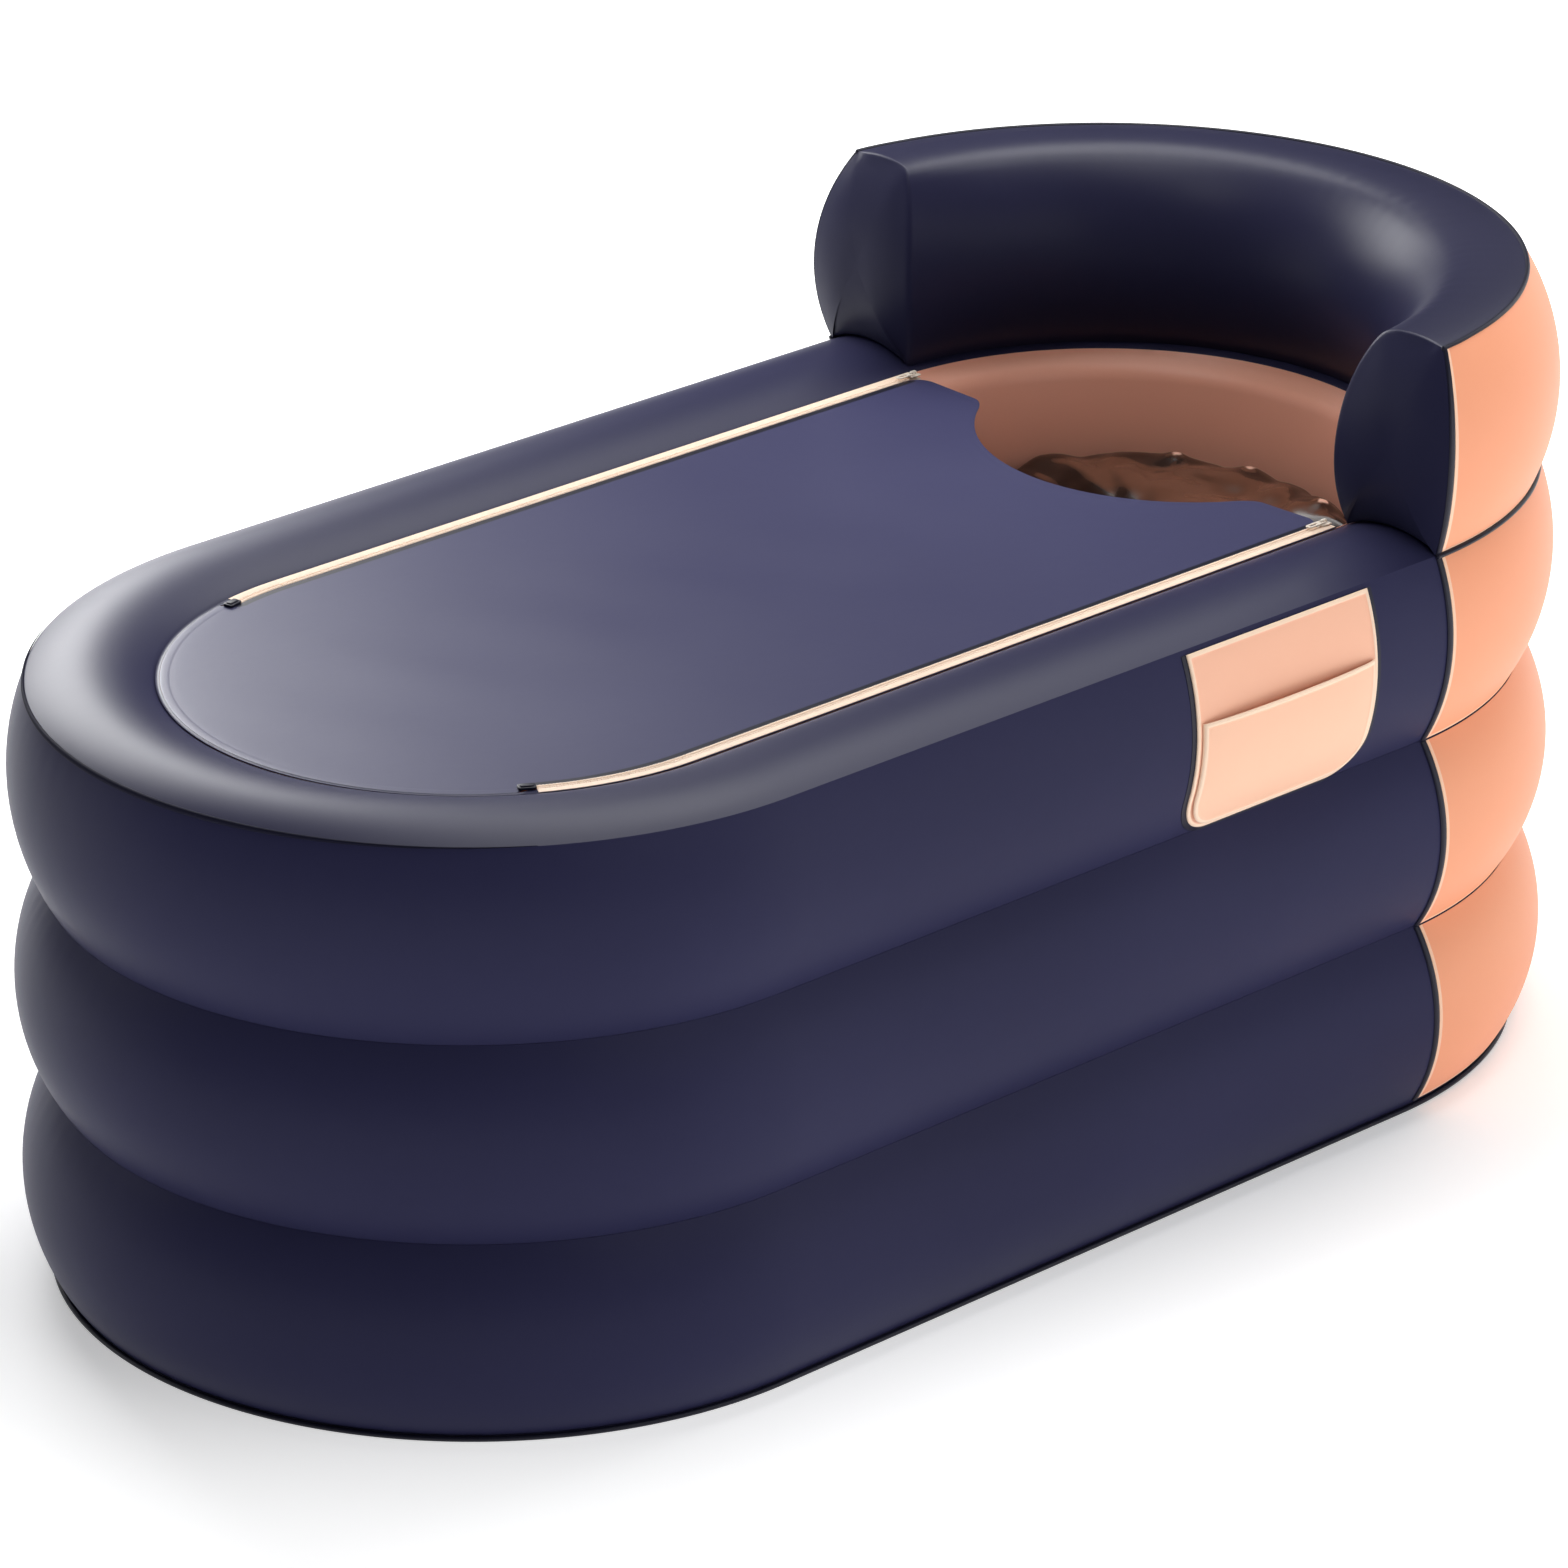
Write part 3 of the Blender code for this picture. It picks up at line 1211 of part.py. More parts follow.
def head_cushion_rise(x):
    """Height of the head cushion's top: a slope that eases into a level shelf."""
    share = (x - HEAD_CUSHION_FRONT_X) / (HEAD_CUSHION_SLOPE_END_X - HEAD_CUSHION_FRONT_X)
    share = min(max(share, 0.0), 1.0)
    ease = share * share * (3 - 2 * share)
    full = HEAD_CUSHION_TOP - LINER_FLOOR_TOP - GAP
    return HEAD_CUSHION_FRONT_TOP + (full - HEAD_CUSHION_FRONT_TOP) * ease


def build_cushions():
    reach = END_RADIUS - LINER_FACE_INSET - CUSHION_CLEARANCE
    bottom = LINER_FLOOR_TOP + GAP
    floor_outline = dee_outline(-HALF_STRAIGHT, reach, FLOOR_CUSHION_HEAD_X, FLOOR_CUSHION_SIDE_STEPS)
    floor_spine = ((-HALF_STRAIGHT, 0), (FLOOR_CUSHION_HEAD_X - reach, 0))
    floor = build_cushion(
        "floor_cushion", floor_outline, floor_spine, bottom, lambda x: FLOOR_CUSHION_THICKNESS, PEACH_LINER
    )
    head_outline = dee_outline(HALF_STRAIGHT, reach, HEAD_CUSHION_FRONT_X, HEAD_CUSHION_SIDE_STEPS)
    head_spine = ((HALF_STRAIGHT - CUSHION_SPINE_HALF, 0), (HALF_STRAIGHT + CUSHION_SPINE_HALF, 0))
    head = build_cushion("head_cushion", head_outline, head_spine, bottom, head_cushion_rise, PEACH_LINER)
    floor_valve_height = bottom + FLOOR_CUSHION_THICKNESS + GAP
    build_valve("floor_cushion", (-HALF_STRAIGHT, reach / 2, floor_valve_height), (0, 0, 1), [floor])
    valve_x = HEAD_CUSHION_SLOPE_END_X + 2 * VALVE_FLANGE_RADIUS
    build_valve("head_cushion", (valve_x, -reach / 2, HEAD_CUSHION_TOP + GAP), (0, 0, 1), [head])


# Build

def main():
    build_floor()
    build_liner()
    build_chambers()
    panels = build_head_panels()
    build_backrest(panels["backrest"])
    build_shoulder_bead()
    build_rim_flange()
    build_cover()
    build_chains()
    build_slider("near", -1)
    build_slider("far", 1)
    build_pocket()
    build_cushions()


main()
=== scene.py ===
# %% [markdown]
# # An inflatable bathtub
# The real object is a stack of three air rings, welded from thin vinyl sheet, with a
# C-shaped air cushion standing on the head end, a cover that zips shut over the water
# and a small pocket on the side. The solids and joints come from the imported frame, so
# this script never guesses a place: it dresses each solid with the form and the finish
# that the eye expects.

# %% Load the frame
import json
import math

import bmesh
import bpy
import numpy as np
from mathutils import Matrix, Vector

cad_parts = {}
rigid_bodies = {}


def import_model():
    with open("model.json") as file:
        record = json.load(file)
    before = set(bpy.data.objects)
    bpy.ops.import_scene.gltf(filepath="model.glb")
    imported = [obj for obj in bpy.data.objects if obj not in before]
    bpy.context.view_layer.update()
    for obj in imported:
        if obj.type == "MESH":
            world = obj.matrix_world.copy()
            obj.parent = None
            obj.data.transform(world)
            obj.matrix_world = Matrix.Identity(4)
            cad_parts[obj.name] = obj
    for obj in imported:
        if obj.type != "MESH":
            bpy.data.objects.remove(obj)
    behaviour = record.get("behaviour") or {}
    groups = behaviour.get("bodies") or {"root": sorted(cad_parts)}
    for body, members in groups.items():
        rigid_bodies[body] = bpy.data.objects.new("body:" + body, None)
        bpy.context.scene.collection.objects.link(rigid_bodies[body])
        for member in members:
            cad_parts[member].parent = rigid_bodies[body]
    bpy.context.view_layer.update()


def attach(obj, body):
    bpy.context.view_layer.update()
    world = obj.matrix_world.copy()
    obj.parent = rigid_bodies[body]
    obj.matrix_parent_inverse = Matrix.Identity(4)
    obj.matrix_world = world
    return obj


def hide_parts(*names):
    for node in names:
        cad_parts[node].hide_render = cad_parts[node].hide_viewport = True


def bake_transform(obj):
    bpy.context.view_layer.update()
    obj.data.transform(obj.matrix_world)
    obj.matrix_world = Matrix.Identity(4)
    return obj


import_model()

# %% [markdown]
# The camera comes first, because every later choice is judged through it. The
# photograph was taken with a long lens from the foot end, about 23 degrees above the
# floor. Six corners of the bath that are easy to find in it gave the place and the
# focal length, which is written here in pixels of the photograph.

# %% Camera
PHOTO_PIXELS = 1568
FOCAL_PIXELS = 7629.9
SENSOR_MM = 36.0
CAMERA_PLACE = Vector((-4.3693, -4.6213, 3.0570))
CAMERA_LOOK = Vector((0.62910, 0.66966, -0.39470))
CLIP_END = 60.0


def placed(name, data):
    """A new object in the scene that shows some data: a mesh, a lamp or a camera."""
    made = bpy.data.objects.new(name, data)
    bpy.context.scene.collection.objects.link(made)
    return made


lens = bpy.data.cameras.new("photo_camera")
lens.sensor_width = SENSOR_MM
lens.lens = SENSOR_MM * FOCAL_PIXELS / PHOTO_PIXELS
lens.clip_end = CLIP_END
camera = placed("photo_camera", lens)
camera.location = CAMERA_PLACE
camera.rotation_euler = CAMERA_LOOK.to_track_quat("-Z", "Y").to_euler()
bpy.context.scene.camera = camera
print("lens:", round(lens.lens, 1), "mm")

# %% [markdown]
# ## Finishes
# Every surface of the bath is plastic sheet or moulded plastic, so the finishes differ
# in small ways: how fine the embossed grain is, how much the gloss wanders, and how the
# colour shifts where the sheet is stretched. Those are sums of noise and masks. Wiring
# them by hand hides the sum, so a small class lets a socket take part in ordinary
# Python arithmetic and adds the nodes behind it.

# %% Sockets that can be added and multiplied
class Wire:
    """A socket of a material's nodes. Arithmetic on wires adds the nodes that do it."""

    def __init__(self, tree, socket=None):
        self.tree = tree
        self.socket = socket

    def node(self, kind, settings=None, sockets=None, output=0):
        """Adds a node: its type, its settings, then the values or wires of its sockets."""
        made = self.tree.nodes.new("ShaderNode" + kind)
        for name, value in (settings or {}).items():
            setattr(made, name, value)
        for name, value in (sockets or {}).items():
            if isinstance(value, Wire):
                self.tree.links.new(value.socket, made.inputs[name])
            else:
                made.inputs[name].default_value = value
        return Wire(self.tree, made.outputs[output])

    def maths(self, operation, *terms):
        return self.node("Math", {"operation": operation}, dict(enumerate(terms)))

    def __add__(self, other):
        return self.maths("ADD", self, other)

    __radd__ = __add__

    def __sub__(self, other):
        return self.maths("SUBTRACT", self, other)

    def __rsub__(self, other):
        return self.maths("SUBTRACT", other, self)

    def __mul__(self, other):
        return self.maths("MULTIPLY", self, other)

    __rmul__ = __mul__

    def rise(self, low, high):
        """0 below low, 1 above high, and smooth between."""
        return self.node(
            "MapRange", {"interpolation_type": "SMOOTHSTEP"},
            {"Value": self, "From Min": low, "From Max": high}
        )

    def part(self, axis):
        """One number of a vector: 0, 1 or 2 for x, y or z."""
        return self.node("SeparateXYZ", None, {"Vector": self}, output=axis)

    def blend_colours(self, first, second):
        """first where this wire is 0 and second where it is 1."""
        colours = [c if isinstance(c, Wire) else (*c, 1.0) for c in (first, second)]
        return self.node(
            "Mix", {"data_type": "RGBA"}, {0: self, 6: colours[0], 7: colours[1]}, output=2
        )


class Finish:
    """A material: the shader's own sockets are set, and a bench to wire the rest from."""

    def __init__(self, name, **own):
        self.material = bpy.data.materials.new(name)
        self.material.use_nodes = True
        tree = self.material.node_tree
        self.shader = tree.nodes["Principled BSDF"]
        self.bench = Wire(tree)
        for socket, value in own.items():
            self.shader.inputs[socket.replace("_", " ")].default_value = value
        self.place = self.bench.node("TexCoord", output="Object")
        self.cloth = self.bench.node("TexCoord", output="UV")

    def feed(self, socket, wire):
        wire.tree.links.new(wire.socket, self.shader.inputs[socket])

    def colour(self):
        """The wire that feeds the base colour, so that more can be laid over it."""
        return Wire(self.bench.tree, self.shader.inputs["Base Color"].links[0].from_socket)

    def facing(self):
        """How far a face looks up: 1 for level, 0 for upright."""
        return self.bench.node("NewGeometry", output="Normal").part(2)

    def noise(self, scale, detail=2.0):
        """Smooth noise from 0 to 1, at so many waves in a metre."""
        sockets = {"Vector": self.place, "Scale": scale, "Detail": detail}
        return self.bench.node("TexNoise", None, sockets)

    def relief(self, height, depth):
        """Feeds a height from 0 to 1 to the shader as a bump of a depth in metres."""
        sockets = {"Height": height, "Distance": depth, "Strength": 1.0}
        self.feed("Normal", self.bench.node("Bump", None, sockets))


# %% [markdown]
# Vinyl sheet for air toys is calendered between rollers, one of which is embossed, so
# it carries a grain a fraction of a millimetre across. Over a larger stretch its gloss
# wanders a little with the tension, and its colour turns a shade paler where it is
# pulled thin. One recipe makes all the vinyl here from those three layers.

# %% Vinyl recipe
GRAIN_PER_METRE = 900.0
GRAIN_DEPTH = 0.000035


def vinyl(name, colour, paler, gloss, wander=0.10, sheen=0.0, grain=1.0, coat=0.0, shine=0.5):
    """Embossed vinyl: base and stretched colour, roughness, and how far it wanders."""
    finish = Finish(
        name, Coat_Weight=coat, Coat_Roughness=0.28, Sheen_Weight=sheen, Sheen_Roughness=0.4,
        IOR=1.52, Specular_IOR_Level=shine
    )
    stretched = finish.noise(2.2, 2.0).rise(0.35, 0.75)
    specks = finish.noise(60.0, 4.0)
    mottle = stretched * 0.75 + specks * 0.25
    finish.feed("Base Color", mottle.blend_colours(colour, paler))
    finish.feed("Roughness", gloss + (finish.noise(5.0, 3.0) - 0.5) * wander)
    pebble = finish.noise(GRAIN_PER_METRE, 2.0)
    ripple = finish.noise(34.0, 2.0)
    finish.relief(pebble * grain + ripple * 3.0, GRAIN_DEPTH)
    return finish


NAVY = (0.024, 0.024, 0.064)
NAVY_PALE = (0.030, 0.030, 0.077)
FILM_ROUGHNESS = 0.38
FILM_FROM, FILM_TO = 0.45, 0.92


def filmed(finish, film):
    """Gives the faces that look up a satin film, as hands and water leave on vinyl."""
    finish.shader.inputs["Coat Roughness"].default_value = FILM_ROUGHNESS
    finish.feed("Coat Weight", finish.facing().rise(FILM_FROM, FILM_TO) * film)
    return finish


navy_vinyl = filmed(vinyl("navy_vinyl", NAVY, NAVY_PALE, 0.42, shine=0.06), 0.36)
print("first finish:", navy_vinyl.material.name, len(navy_vinyl.material.node_tree.nodes), "nodes")

# %% [markdown]
# ## Shapes
# Almost everything on the bath follows one plan outline: two straight sides joined by
# two half rounds. So a piece is made as it would be welded, from a section carried
# along that outline. A section point is (inset, height): how far it lies inside the
# widest outline, and how high. A run is a list of stations, each with the centre that
# its ray leaves, the ray's direction and the distance walked.

# %% Runs round the outline
HALF_STRAIGHT = 0.390
END_RADIUS = 0.410
STATION = 0.008


def with_walk(rays):
    """Rays as (centre x, direction) with the distance walked at the widest outline."""
    places = rays[:, :1] * [[1.0, 0.0]] + END_RADIUS * rays[:, 1:3]
    steps = np.hypot(*np.diff(places, axis=0).T)
    return np.column_stack([rays, np.concatenate([[0.0], np.cumsum(steps)])])


def round_end(centre_x, start, end, spacing=STATION):
    """Rays round one end, from one plan angle in degrees to another."""
    count = max(2, math.ceil(math.radians(abs(end - start)) * END_RADIUS / spacing))
    turn = np.radians(np.linspace(start, end, count + 1))
    return np.column_stack([np.full(count + 1, centre_x), np.cos(turn), np.sin(turn)])


def along_side(side, from_x, to_x, spacing=STATION):
    """Rays along a straight side: -1 is the pocket's side and 1 the valves'."""
    count = max(1, math.ceil(abs(to_x - from_x) / spacing))
    places = np.linspace(from_x, to_x, count + 1)
    return np.column_stack([places, np.zeros(count + 1), np.full(count + 1, float(side))])


def joined(*runs):
    return with_walk(np.vstack([runs[0]] + [run[1:] for run in runs[1:]]))


WHOLE = joined(
    round_end(HALF_STRAIGHT, -90, 90), along_side(1, HALF_STRAIGHT, -HALF_STRAIGHT),
    round_end(-HALF_STRAIGHT, 90, 270), along_side(-1, -HALF_STRAIGHT, HALF_STRAIGHT)
)
print("outline:", len(WHOLE) - 1, "stations,", round(WHOLE[-1, 3], 3), "m round")

# %% [markdown]
# Air pushes a sheet into an arc between its two welds, so a section is a chain of arcs,
# each given by its ends and its swell.

# %% Sections
def swell(start, end, bulge, spacing=0.007):
    """Points from start to end on an arc that swells to the left of the way."""
    start, end = np.array(start, float), np.array(end, float)
    chord = np.hypot(*(end - start))
    count = max(2, math.ceil(chord / spacing))
    share = np.linspace(0.0, 1.0, count + 1)
    if abs(bulge) < 1e-6:
        return start + (end - start) * share[:, None]
    radius = (chord * chord / 4 + bulge * bulge) / (2 * bulge)
    half = math.asin(min(1.0, chord / 2 / abs(radius))) * (1 if radius > 0 else -1)
    angle = -half + 2 * half * share
    ahead = (end - start) / chord
    left = np.array([-ahead[1], ahead[0]])
    along = chord / 2 + abs(radius) * np.sin(angle) * (1 if radius > 0 else -1)
    side = radius * np.cos(angle) - (radius - bulge)
    return start + ahead * along[:, None] + left * side[:, None]


def chained(*arcs):
    return np.vstack([arcs[0]] + [arc[1:] for arc in arcs[1:]])


CORNER_SHARES = np.linspace(0.0, 1.0, 6)


def corner_curve(before, here, after, reach, shares=CORNER_SHARES):
    """Points of the curve that rounds a corner off, from one side of it to the other."""
    before, here, after = (np.array(point, float) for point in (before, here, after))
    start = here + (before - here) / np.hypot(*(before - here)) * reach
    end = here + (after - here) / np.hypot(*(after - here)) * reach
    share = np.array(shares)[:, None]
    return (1 - share) ** 2 * start + 2 * share * (1 - share) * here + share ** 2 * end


def eased(points, corner, radius):
    """The chain with one of its corners rounded: corner is the point's number."""
    curve = corner_curve(*points[corner - 1:corner + 2], radius)
    return np.vstack([points[:corner], curve, points[corner + 1:]])


def lefts(points, closed=False):
    """The unit vector to the left of the way at each point."""
    if closed:
        ahead = np.roll(points, -1, axis=0) - np.roll(points, 1, axis=0)
    else:
        ahead = np.gradient(points, axis=0)
    ahead = ahead / np.maximum(np.hypot(*ahead.T), 1e-9)[:, None]
    return np.column_stack([-ahead[:, 1], ahead[:, 0]])


def lengths(points):
    steps = np.hypot(*np.diff(points, axis=0).T)
    return np.concatenate([[0.0], np.cumsum(steps)])


# %% [markdown]
# Carrying a section along a run gives a grid of points. A push moves each point square
# to the sheet, for puckers and padding. Grids become meshes in two ways: a tube of air
# is a closed skin, and a panel is a thin solid between two grids.

# %% From a section to a mesh
def carried(run, section, push=None, closed=False):
    """The grid of points that a section makes along a run."""
    away = lefts(section, closed)
    push = np.zeros((len(run), len(section))) if push is None else push
    inset = section[None, :, 0] + push * away[None, :, 0]
    height = section[None, :, 1] + push * away[None, :, 1]
    reach = END_RADIUS - inset
    return np.stack([run[:, :1] + reach * run[:, 1:2], reach * run[:, 2:3], height], axis=2)


def cells(rows, columns, over_rows=False, over_columns=False, flip=False):
    """Row and column numbers at the four corners of each cell of a grid."""
    last = np.arange(rows - 1 + over_rows), np.arange(columns - 1 + over_columns)
    a, b = np.meshgrid(*last, indexing="ij")
    corners = [(a, b), (a + 1, b), (a + 1, b + 1), (a, b + 1)]
    return corners[::-1] if flip else corners


def quads(rows, columns, first=0, **closing):
    """Faces of a grid, closed over its last row or column where asked."""
    corners = [(a % rows) * columns + b % columns for a, b in cells(rows, columns, **closing)]
    return (np.stack(corners, axis=2).reshape(-1, 4) + first).tolist()


def grid_uv(rows, columns, walked, across, **closing):
    """Corner UVs of quads(): the distance walked, and the distance across the sheet."""
    u = np.append(walked, walked[-1] + walked[1]) if len(walked) == rows else walked
    v = np.append(across, across[-1] + across[1]) if len(across) == columns else across
    pairs = [np.stack([u[a], v[b]], axis=2) for a, b in cells(rows, columns, **closing)]
    return np.stack(pairs, axis=2).reshape(-1, 2)


SHARP_FROM = 35.0


def new_piece(name, points, faces, uv=None):
    """An object from points and faces; uv gives (u, v) for each corner of each face."""
    mesh = bpy.data.meshes.new(name)
    mesh.from_pydata(np.asarray(points).tolist(), [], faces)
    if uv is not None:
        layer = mesh.uv_layers.new(name="cloth")
        layer.data.foreach_set("uv", np.asarray(uv, np.float32).ravel())
    mesh.shade_smooth()
    mesh.set_sharp_from_angle(angle=math.radians(SHARP_FROM))
    return placed(name, mesh)


def face_outward(piece):
    bm = bmesh.new()
    bm.from_mesh(piece.data)
    bmesh.ops.recalc_face_normals(bm, faces=bm.faces)
    bm.to_mesh(piece.data)
    bm.free()


def dressed(piece, finish, slot, body, *nodes):
    """Gives a piece its finish, the body it rides on and the nodes it replaces; slot is not used."""
    piece.data.materials.clear()
    piece.data.materials.append(finish.material)
    if body:
        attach(piece, body)
    if nodes:
        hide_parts(*nodes)
    return piece


def whole_skin(name, section, push=None, across=None):
    """A closed section carried once round the bath."""
    run = WHOLE[:-1]
    rows, columns = len(run), len(section)
    points = carried(run, section, push, closed=True).reshape(-1, 3)
    across = lengths(np.vstack([section, section[:1]])) if across is None else across
    faces = quads(rows, columns, over_rows=True, over_columns=True)
    uv = grid_uv(rows, columns, WHOLE[:, 3], across, over_rows=True, over_columns=True)
    return new_piece(name, points, faces, uv)


def blown(rim, middle, rings):
    """Heights of a blown membrane at rings drawn between a rim and its middle."""
    out = (np.linalg.norm(rim - middle, axis=1) / rings)[None, :]
    step = np.linalg.norm(np.roll(rim, -1, axis=0) - np.roll(rim, 1, axis=0), axis=1) / 2
    beside = step[None, :] * (1 - np.arange(1, rings) / rings)[:, None]
    pull_in, pull_beside = 1 / out ** 2, 1 / np.maximum(beside, 1e-5) ** 2
    level = np.zeros((rings, len(rim)))
    peak = 0.0
    for _ in range(1500):
        within = np.vstack([level[2:], np.full((1, len(rim)), peak)])
        sides = np.roll(level[1:], 1, axis=1) + np.roll(level[1:], -1, axis=1)
        total = (level[:-1] + within) * pull_in + sides * pull_beside + 1.0
        level[1:] = total / (2 * pull_in + 2 * pull_beside)
        peak = level[-1].mean() + float(np.mean(out)) ** 2 / 4
    return level / peak


END_RINGS = 9


def domed_end(points, loop, outward, dome):
    """Closes a loop of a grid with a sheet that swells outward."""
    rim = points[loop]
    middle = rim.mean(axis=0)
    count, first = len(loop), len(points)
    level = blown(rim, middle, END_RINGS) * dome
    added, faces, previous = [], [], np.array(loop)
    for ring in range(1, END_RINGS):
        added.append(rim + (middle - rim) * ring / END_RINGS + outward * level[ring][:, None])
        current = first + (ring - 1) * count + np.arange(count)
        band = [previous, np.roll(previous, -1), np.roll(current, -1), current]
        faces += np.column_stack(band).tolist()
        previous = current
    added.append((middle + outward * dome)[None, :])
    peak = np.full(count, first + (END_RINGS - 1) * count)
    faces += np.column_stack([previous, np.roll(previous, -1), peak]).tolist()
    return np.vstack([points] + added), faces


def end_skin(name, run, section, dome=0.0, push=None, shift=None):
    """A closed section carried part of the way round, with domed or flat ends."""
    rows, columns = len(run), len(section)
    points = carried(run, section, push, closed=True).reshape(-1, 3)
    faces = quads(rows, columns, over_columns=True)
    across = lengths(np.vstack([section, section[:1]]))
    uv = grid_uv(rows, columns, run[:, 3], across, over_columns=True)
    first = np.arange(columns)[::-1]
    last = np.arange(columns) + (rows - 1) * columns
    for loop, station, sign in ((first, 0, -1), (last, -1, 1)):
        way = np.array([-run[station, 2], run[station, 1], 0.0]) * sign
        made = len(points)
        points, more = domed_end(points, loop[::-1], way, dome)
        faces += more
        if shift:
            points[made:] = shift(run[[station]], points[None, made:])[0]
    if shift:
        grid = points[:rows * columns].reshape(rows, columns, 3)
        points[:rows * columns] = shift(run, grid).reshape(-1, 3)
    corners = sum(len(face) for face in faces)
    uv = np.vstack([uv, np.zeros((corners - len(uv), 2))])
    piece = new_piece(name, points, faces, uv)
    face_outward(piece)
    return piece


def thin_solid(name, outer, inner, walked=None, across=None, over_rows=False):
    """A thin solid between two grids of the same size, one over the other."""
    rows, columns = outer.shape[:2]
    walked = np.arange(rows + over_rows) * 1.0 if walked is None else walked
    across = np.arange(columns) * 1.0 if across is None else across
    count = rows * columns
    points = np.vstack([outer.reshape(-1, 3), inner.reshape(-1, 3)])
    faces, uv = [], []
    for first, flip in ((0, False), (count, True)):
        faces += quads(rows, columns, first, over_rows=over_rows, flip=flip)
        uv.append(grid_uv(rows, columns, walked, across, over_rows=over_rows, flip=flip))
    rim = []
    for a in range(rows - 1 + over_rows):
        b = (a + 1) % rows
        rim += [[(a, 0), (b, 0)], [(b, columns - 1), (a, columns - 1)]]
    if not over_rows:
        for j in range(columns - 1):
            rim += [[(0, j + 1), (0, j)], [(rows - 1, j), (rows - 1, j + 1)]]
    for (a, i), (b, j) in rim:
        start, end = a * columns + i, b * columns + j
        faces.append([end, start, start + count, end + count])
        uv.append([(walked[m], across[n]) for m, n in ((b, j), (a, i), (a, i), (b, j))])
    return new_piece(name, points, faces, np.vstack(uv))


def marked(piece, first, second):
    """Writes two numbers of each grid point into the UVs of a thin solid."""
    index = np.zeros(len(piece.data.loops), np.int32)
    piece.data.loops.foreach_get("vertex_index", index)
    index = index % first.size
    pair = (first, np.broadcast_to(second, first.shape))
    uv = np.column_stack([numbers.ravel()[index] for numbers in pair])
    piece.data.uv_layers["cloth"].data.foreach_set("uv", uv.astype(np.float32).ravel())


# %% [markdown]
# A welded ring puckers where the sheet is gathered round a bend: short waves that
# start at the weld and die out within a few centimetres. They are a fifth of a
# millimetre high here, because the photograph shows a tight, well filled bath.

# %% Puckers
def waves(walked, length, cycles, seed):
    """Closed waves round a length, a mix of neighbouring cycle counts."""
    dice = np.random.default_rng(seed)
    total = np.zeros_like(walked)
    for cycle in cycles:
        total += np.sin(2 * math.pi * (cycle * walked / length + dice.random()))
    return total / math.sqrt(len(cycles))


PUCKER_REACH = 0.020


def puckers(run, from_seam, depth, seed):
    """How far each point of a grid is pushed: strongest at the welds of the round ends."""
    length = WHOLE[-1, 3]
    short = waves(run[:, 3], length, (131, 147, 158, 173, 196), seed)
    long = waves(run[:, 3], length, (9, 13, 17, 23), seed + 1)
    bend = np.clip((np.abs(run[:, 1]) - 0.05) / 0.4, 0.0, 1.0) * 0.8 + 0.2
    fade = np.exp(-from_seam / PUCKER_REACH) * np.clip(from_seam / 0.002, 0.0, 1.0)
    sway = np.clip(from_seam / 0.05, 0.0, 1.0) * depth
    return depth * (bend * short)[:, None] * fade[None, :] + long[:, None] * sway[None, :]


# %% [markdown]
# ## The three air rings
# Each ring is a tube of sheet with four welds: the outer and inner creases below and
# above. The outer wall swells into a round belly and the inner one stays nearly flat.
# The top ring differs: its outer wall ends in a shoulder seam and a wide, low crown
# runs from there to the zip. I carry each section round the whole outline as one skin.

# %% Ring sections
TIER_HEIGHT = 0.184
FLOOR_TOP = 0.0013
TIER_GAP = 0.0003
CREASE_INSET = 0.029
BELLY = 0.029
INNER_INSET = 0.150
INNER_SWELL = 0.008
SHOULDER = (0.0185, 0.5505)
SHOULDER_SWELL = 0.0228
RIM_SEAM = (0.131, 0.5471)
CROWN_RISE = 0.0145
RIM_STEP = (0.137, 0.5391)
INNER_TOP = 0.529
RING_PUCKER = 0.00022


def belly(bottom, top):
    return swell((CREASE_INSET, bottom), (CREASE_INSET, top), BELLY)


def inner_wall(top, bottom):
    return swell((INNER_INSET, top), (INNER_INSET, bottom), INNER_SWELL, 0.02)


def top_ring_wall(bottom):
    return swell((CREASE_INSET, bottom), SHOULDER, SHOULDER_SWELL)


def crown():
    return swell(SHOULDER, RIM_SEAM, CROWN_RISE, 0.005)


def seam_distance(section, outer_count):
    """Distance of each section point from the nearer weld of its outer wall."""
    walked = lengths(section)
    outer = walked[outer_count - 1]
    near = np.minimum(walked, np.abs(outer - walked))
    return np.where(np.arange(len(section)) < outer_count, near, 0.06)


def ring(node, section, outer_count, seed):
    """One air ring: its skin, puckered beside its welds."""
    run = WHOLE[:-1]
    distance = seam_distance(section, outer_count)
    push = puckers(run, distance, RING_PUCKER, seed)
    push[:, outer_count - 1:] = 0.0
    push[:, 0] = 0.0
    across = np.append(distance, distance[0])
    piece = whole_skin(node + "_skin", section, push, across)
    return dressed(piece, navy_vinyl, "navy_vinyl", "tub", node)


# %% Weld the three rings
MIDDLE_TOP = 2 * TIER_HEIGHT
plain_levels = (("lower_ring", FLOOR_TOP, TIER_HEIGHT), ("middle_ring", TIER_HEIGHT, MIDDLE_TOP))
rings = {}
for number, (node, bottom, top) in enumerate(plain_levels):
    wall = belly(bottom, top - TIER_GAP)
    section = np.vstack([wall, inner_wall(top - TIER_GAP, bottom)])
    rings[node] = ring(node, section, len(wall), 11 + number)

top_wall = top_ring_wall(MIDDLE_TOP)
over_crown = crown()
top_section = np.vstack([top_wall, over_crown[1:], RIM_STEP, inner_wall(INNER_TOP, MIDDLE_TOP)])
rings["upper_ring"] = ring("upper_ring", top_section, len(top_wall), 13)
print("rings:", [round(max(v.co.z for v in piece.data.vertices), 4) for piece in rings.values()])

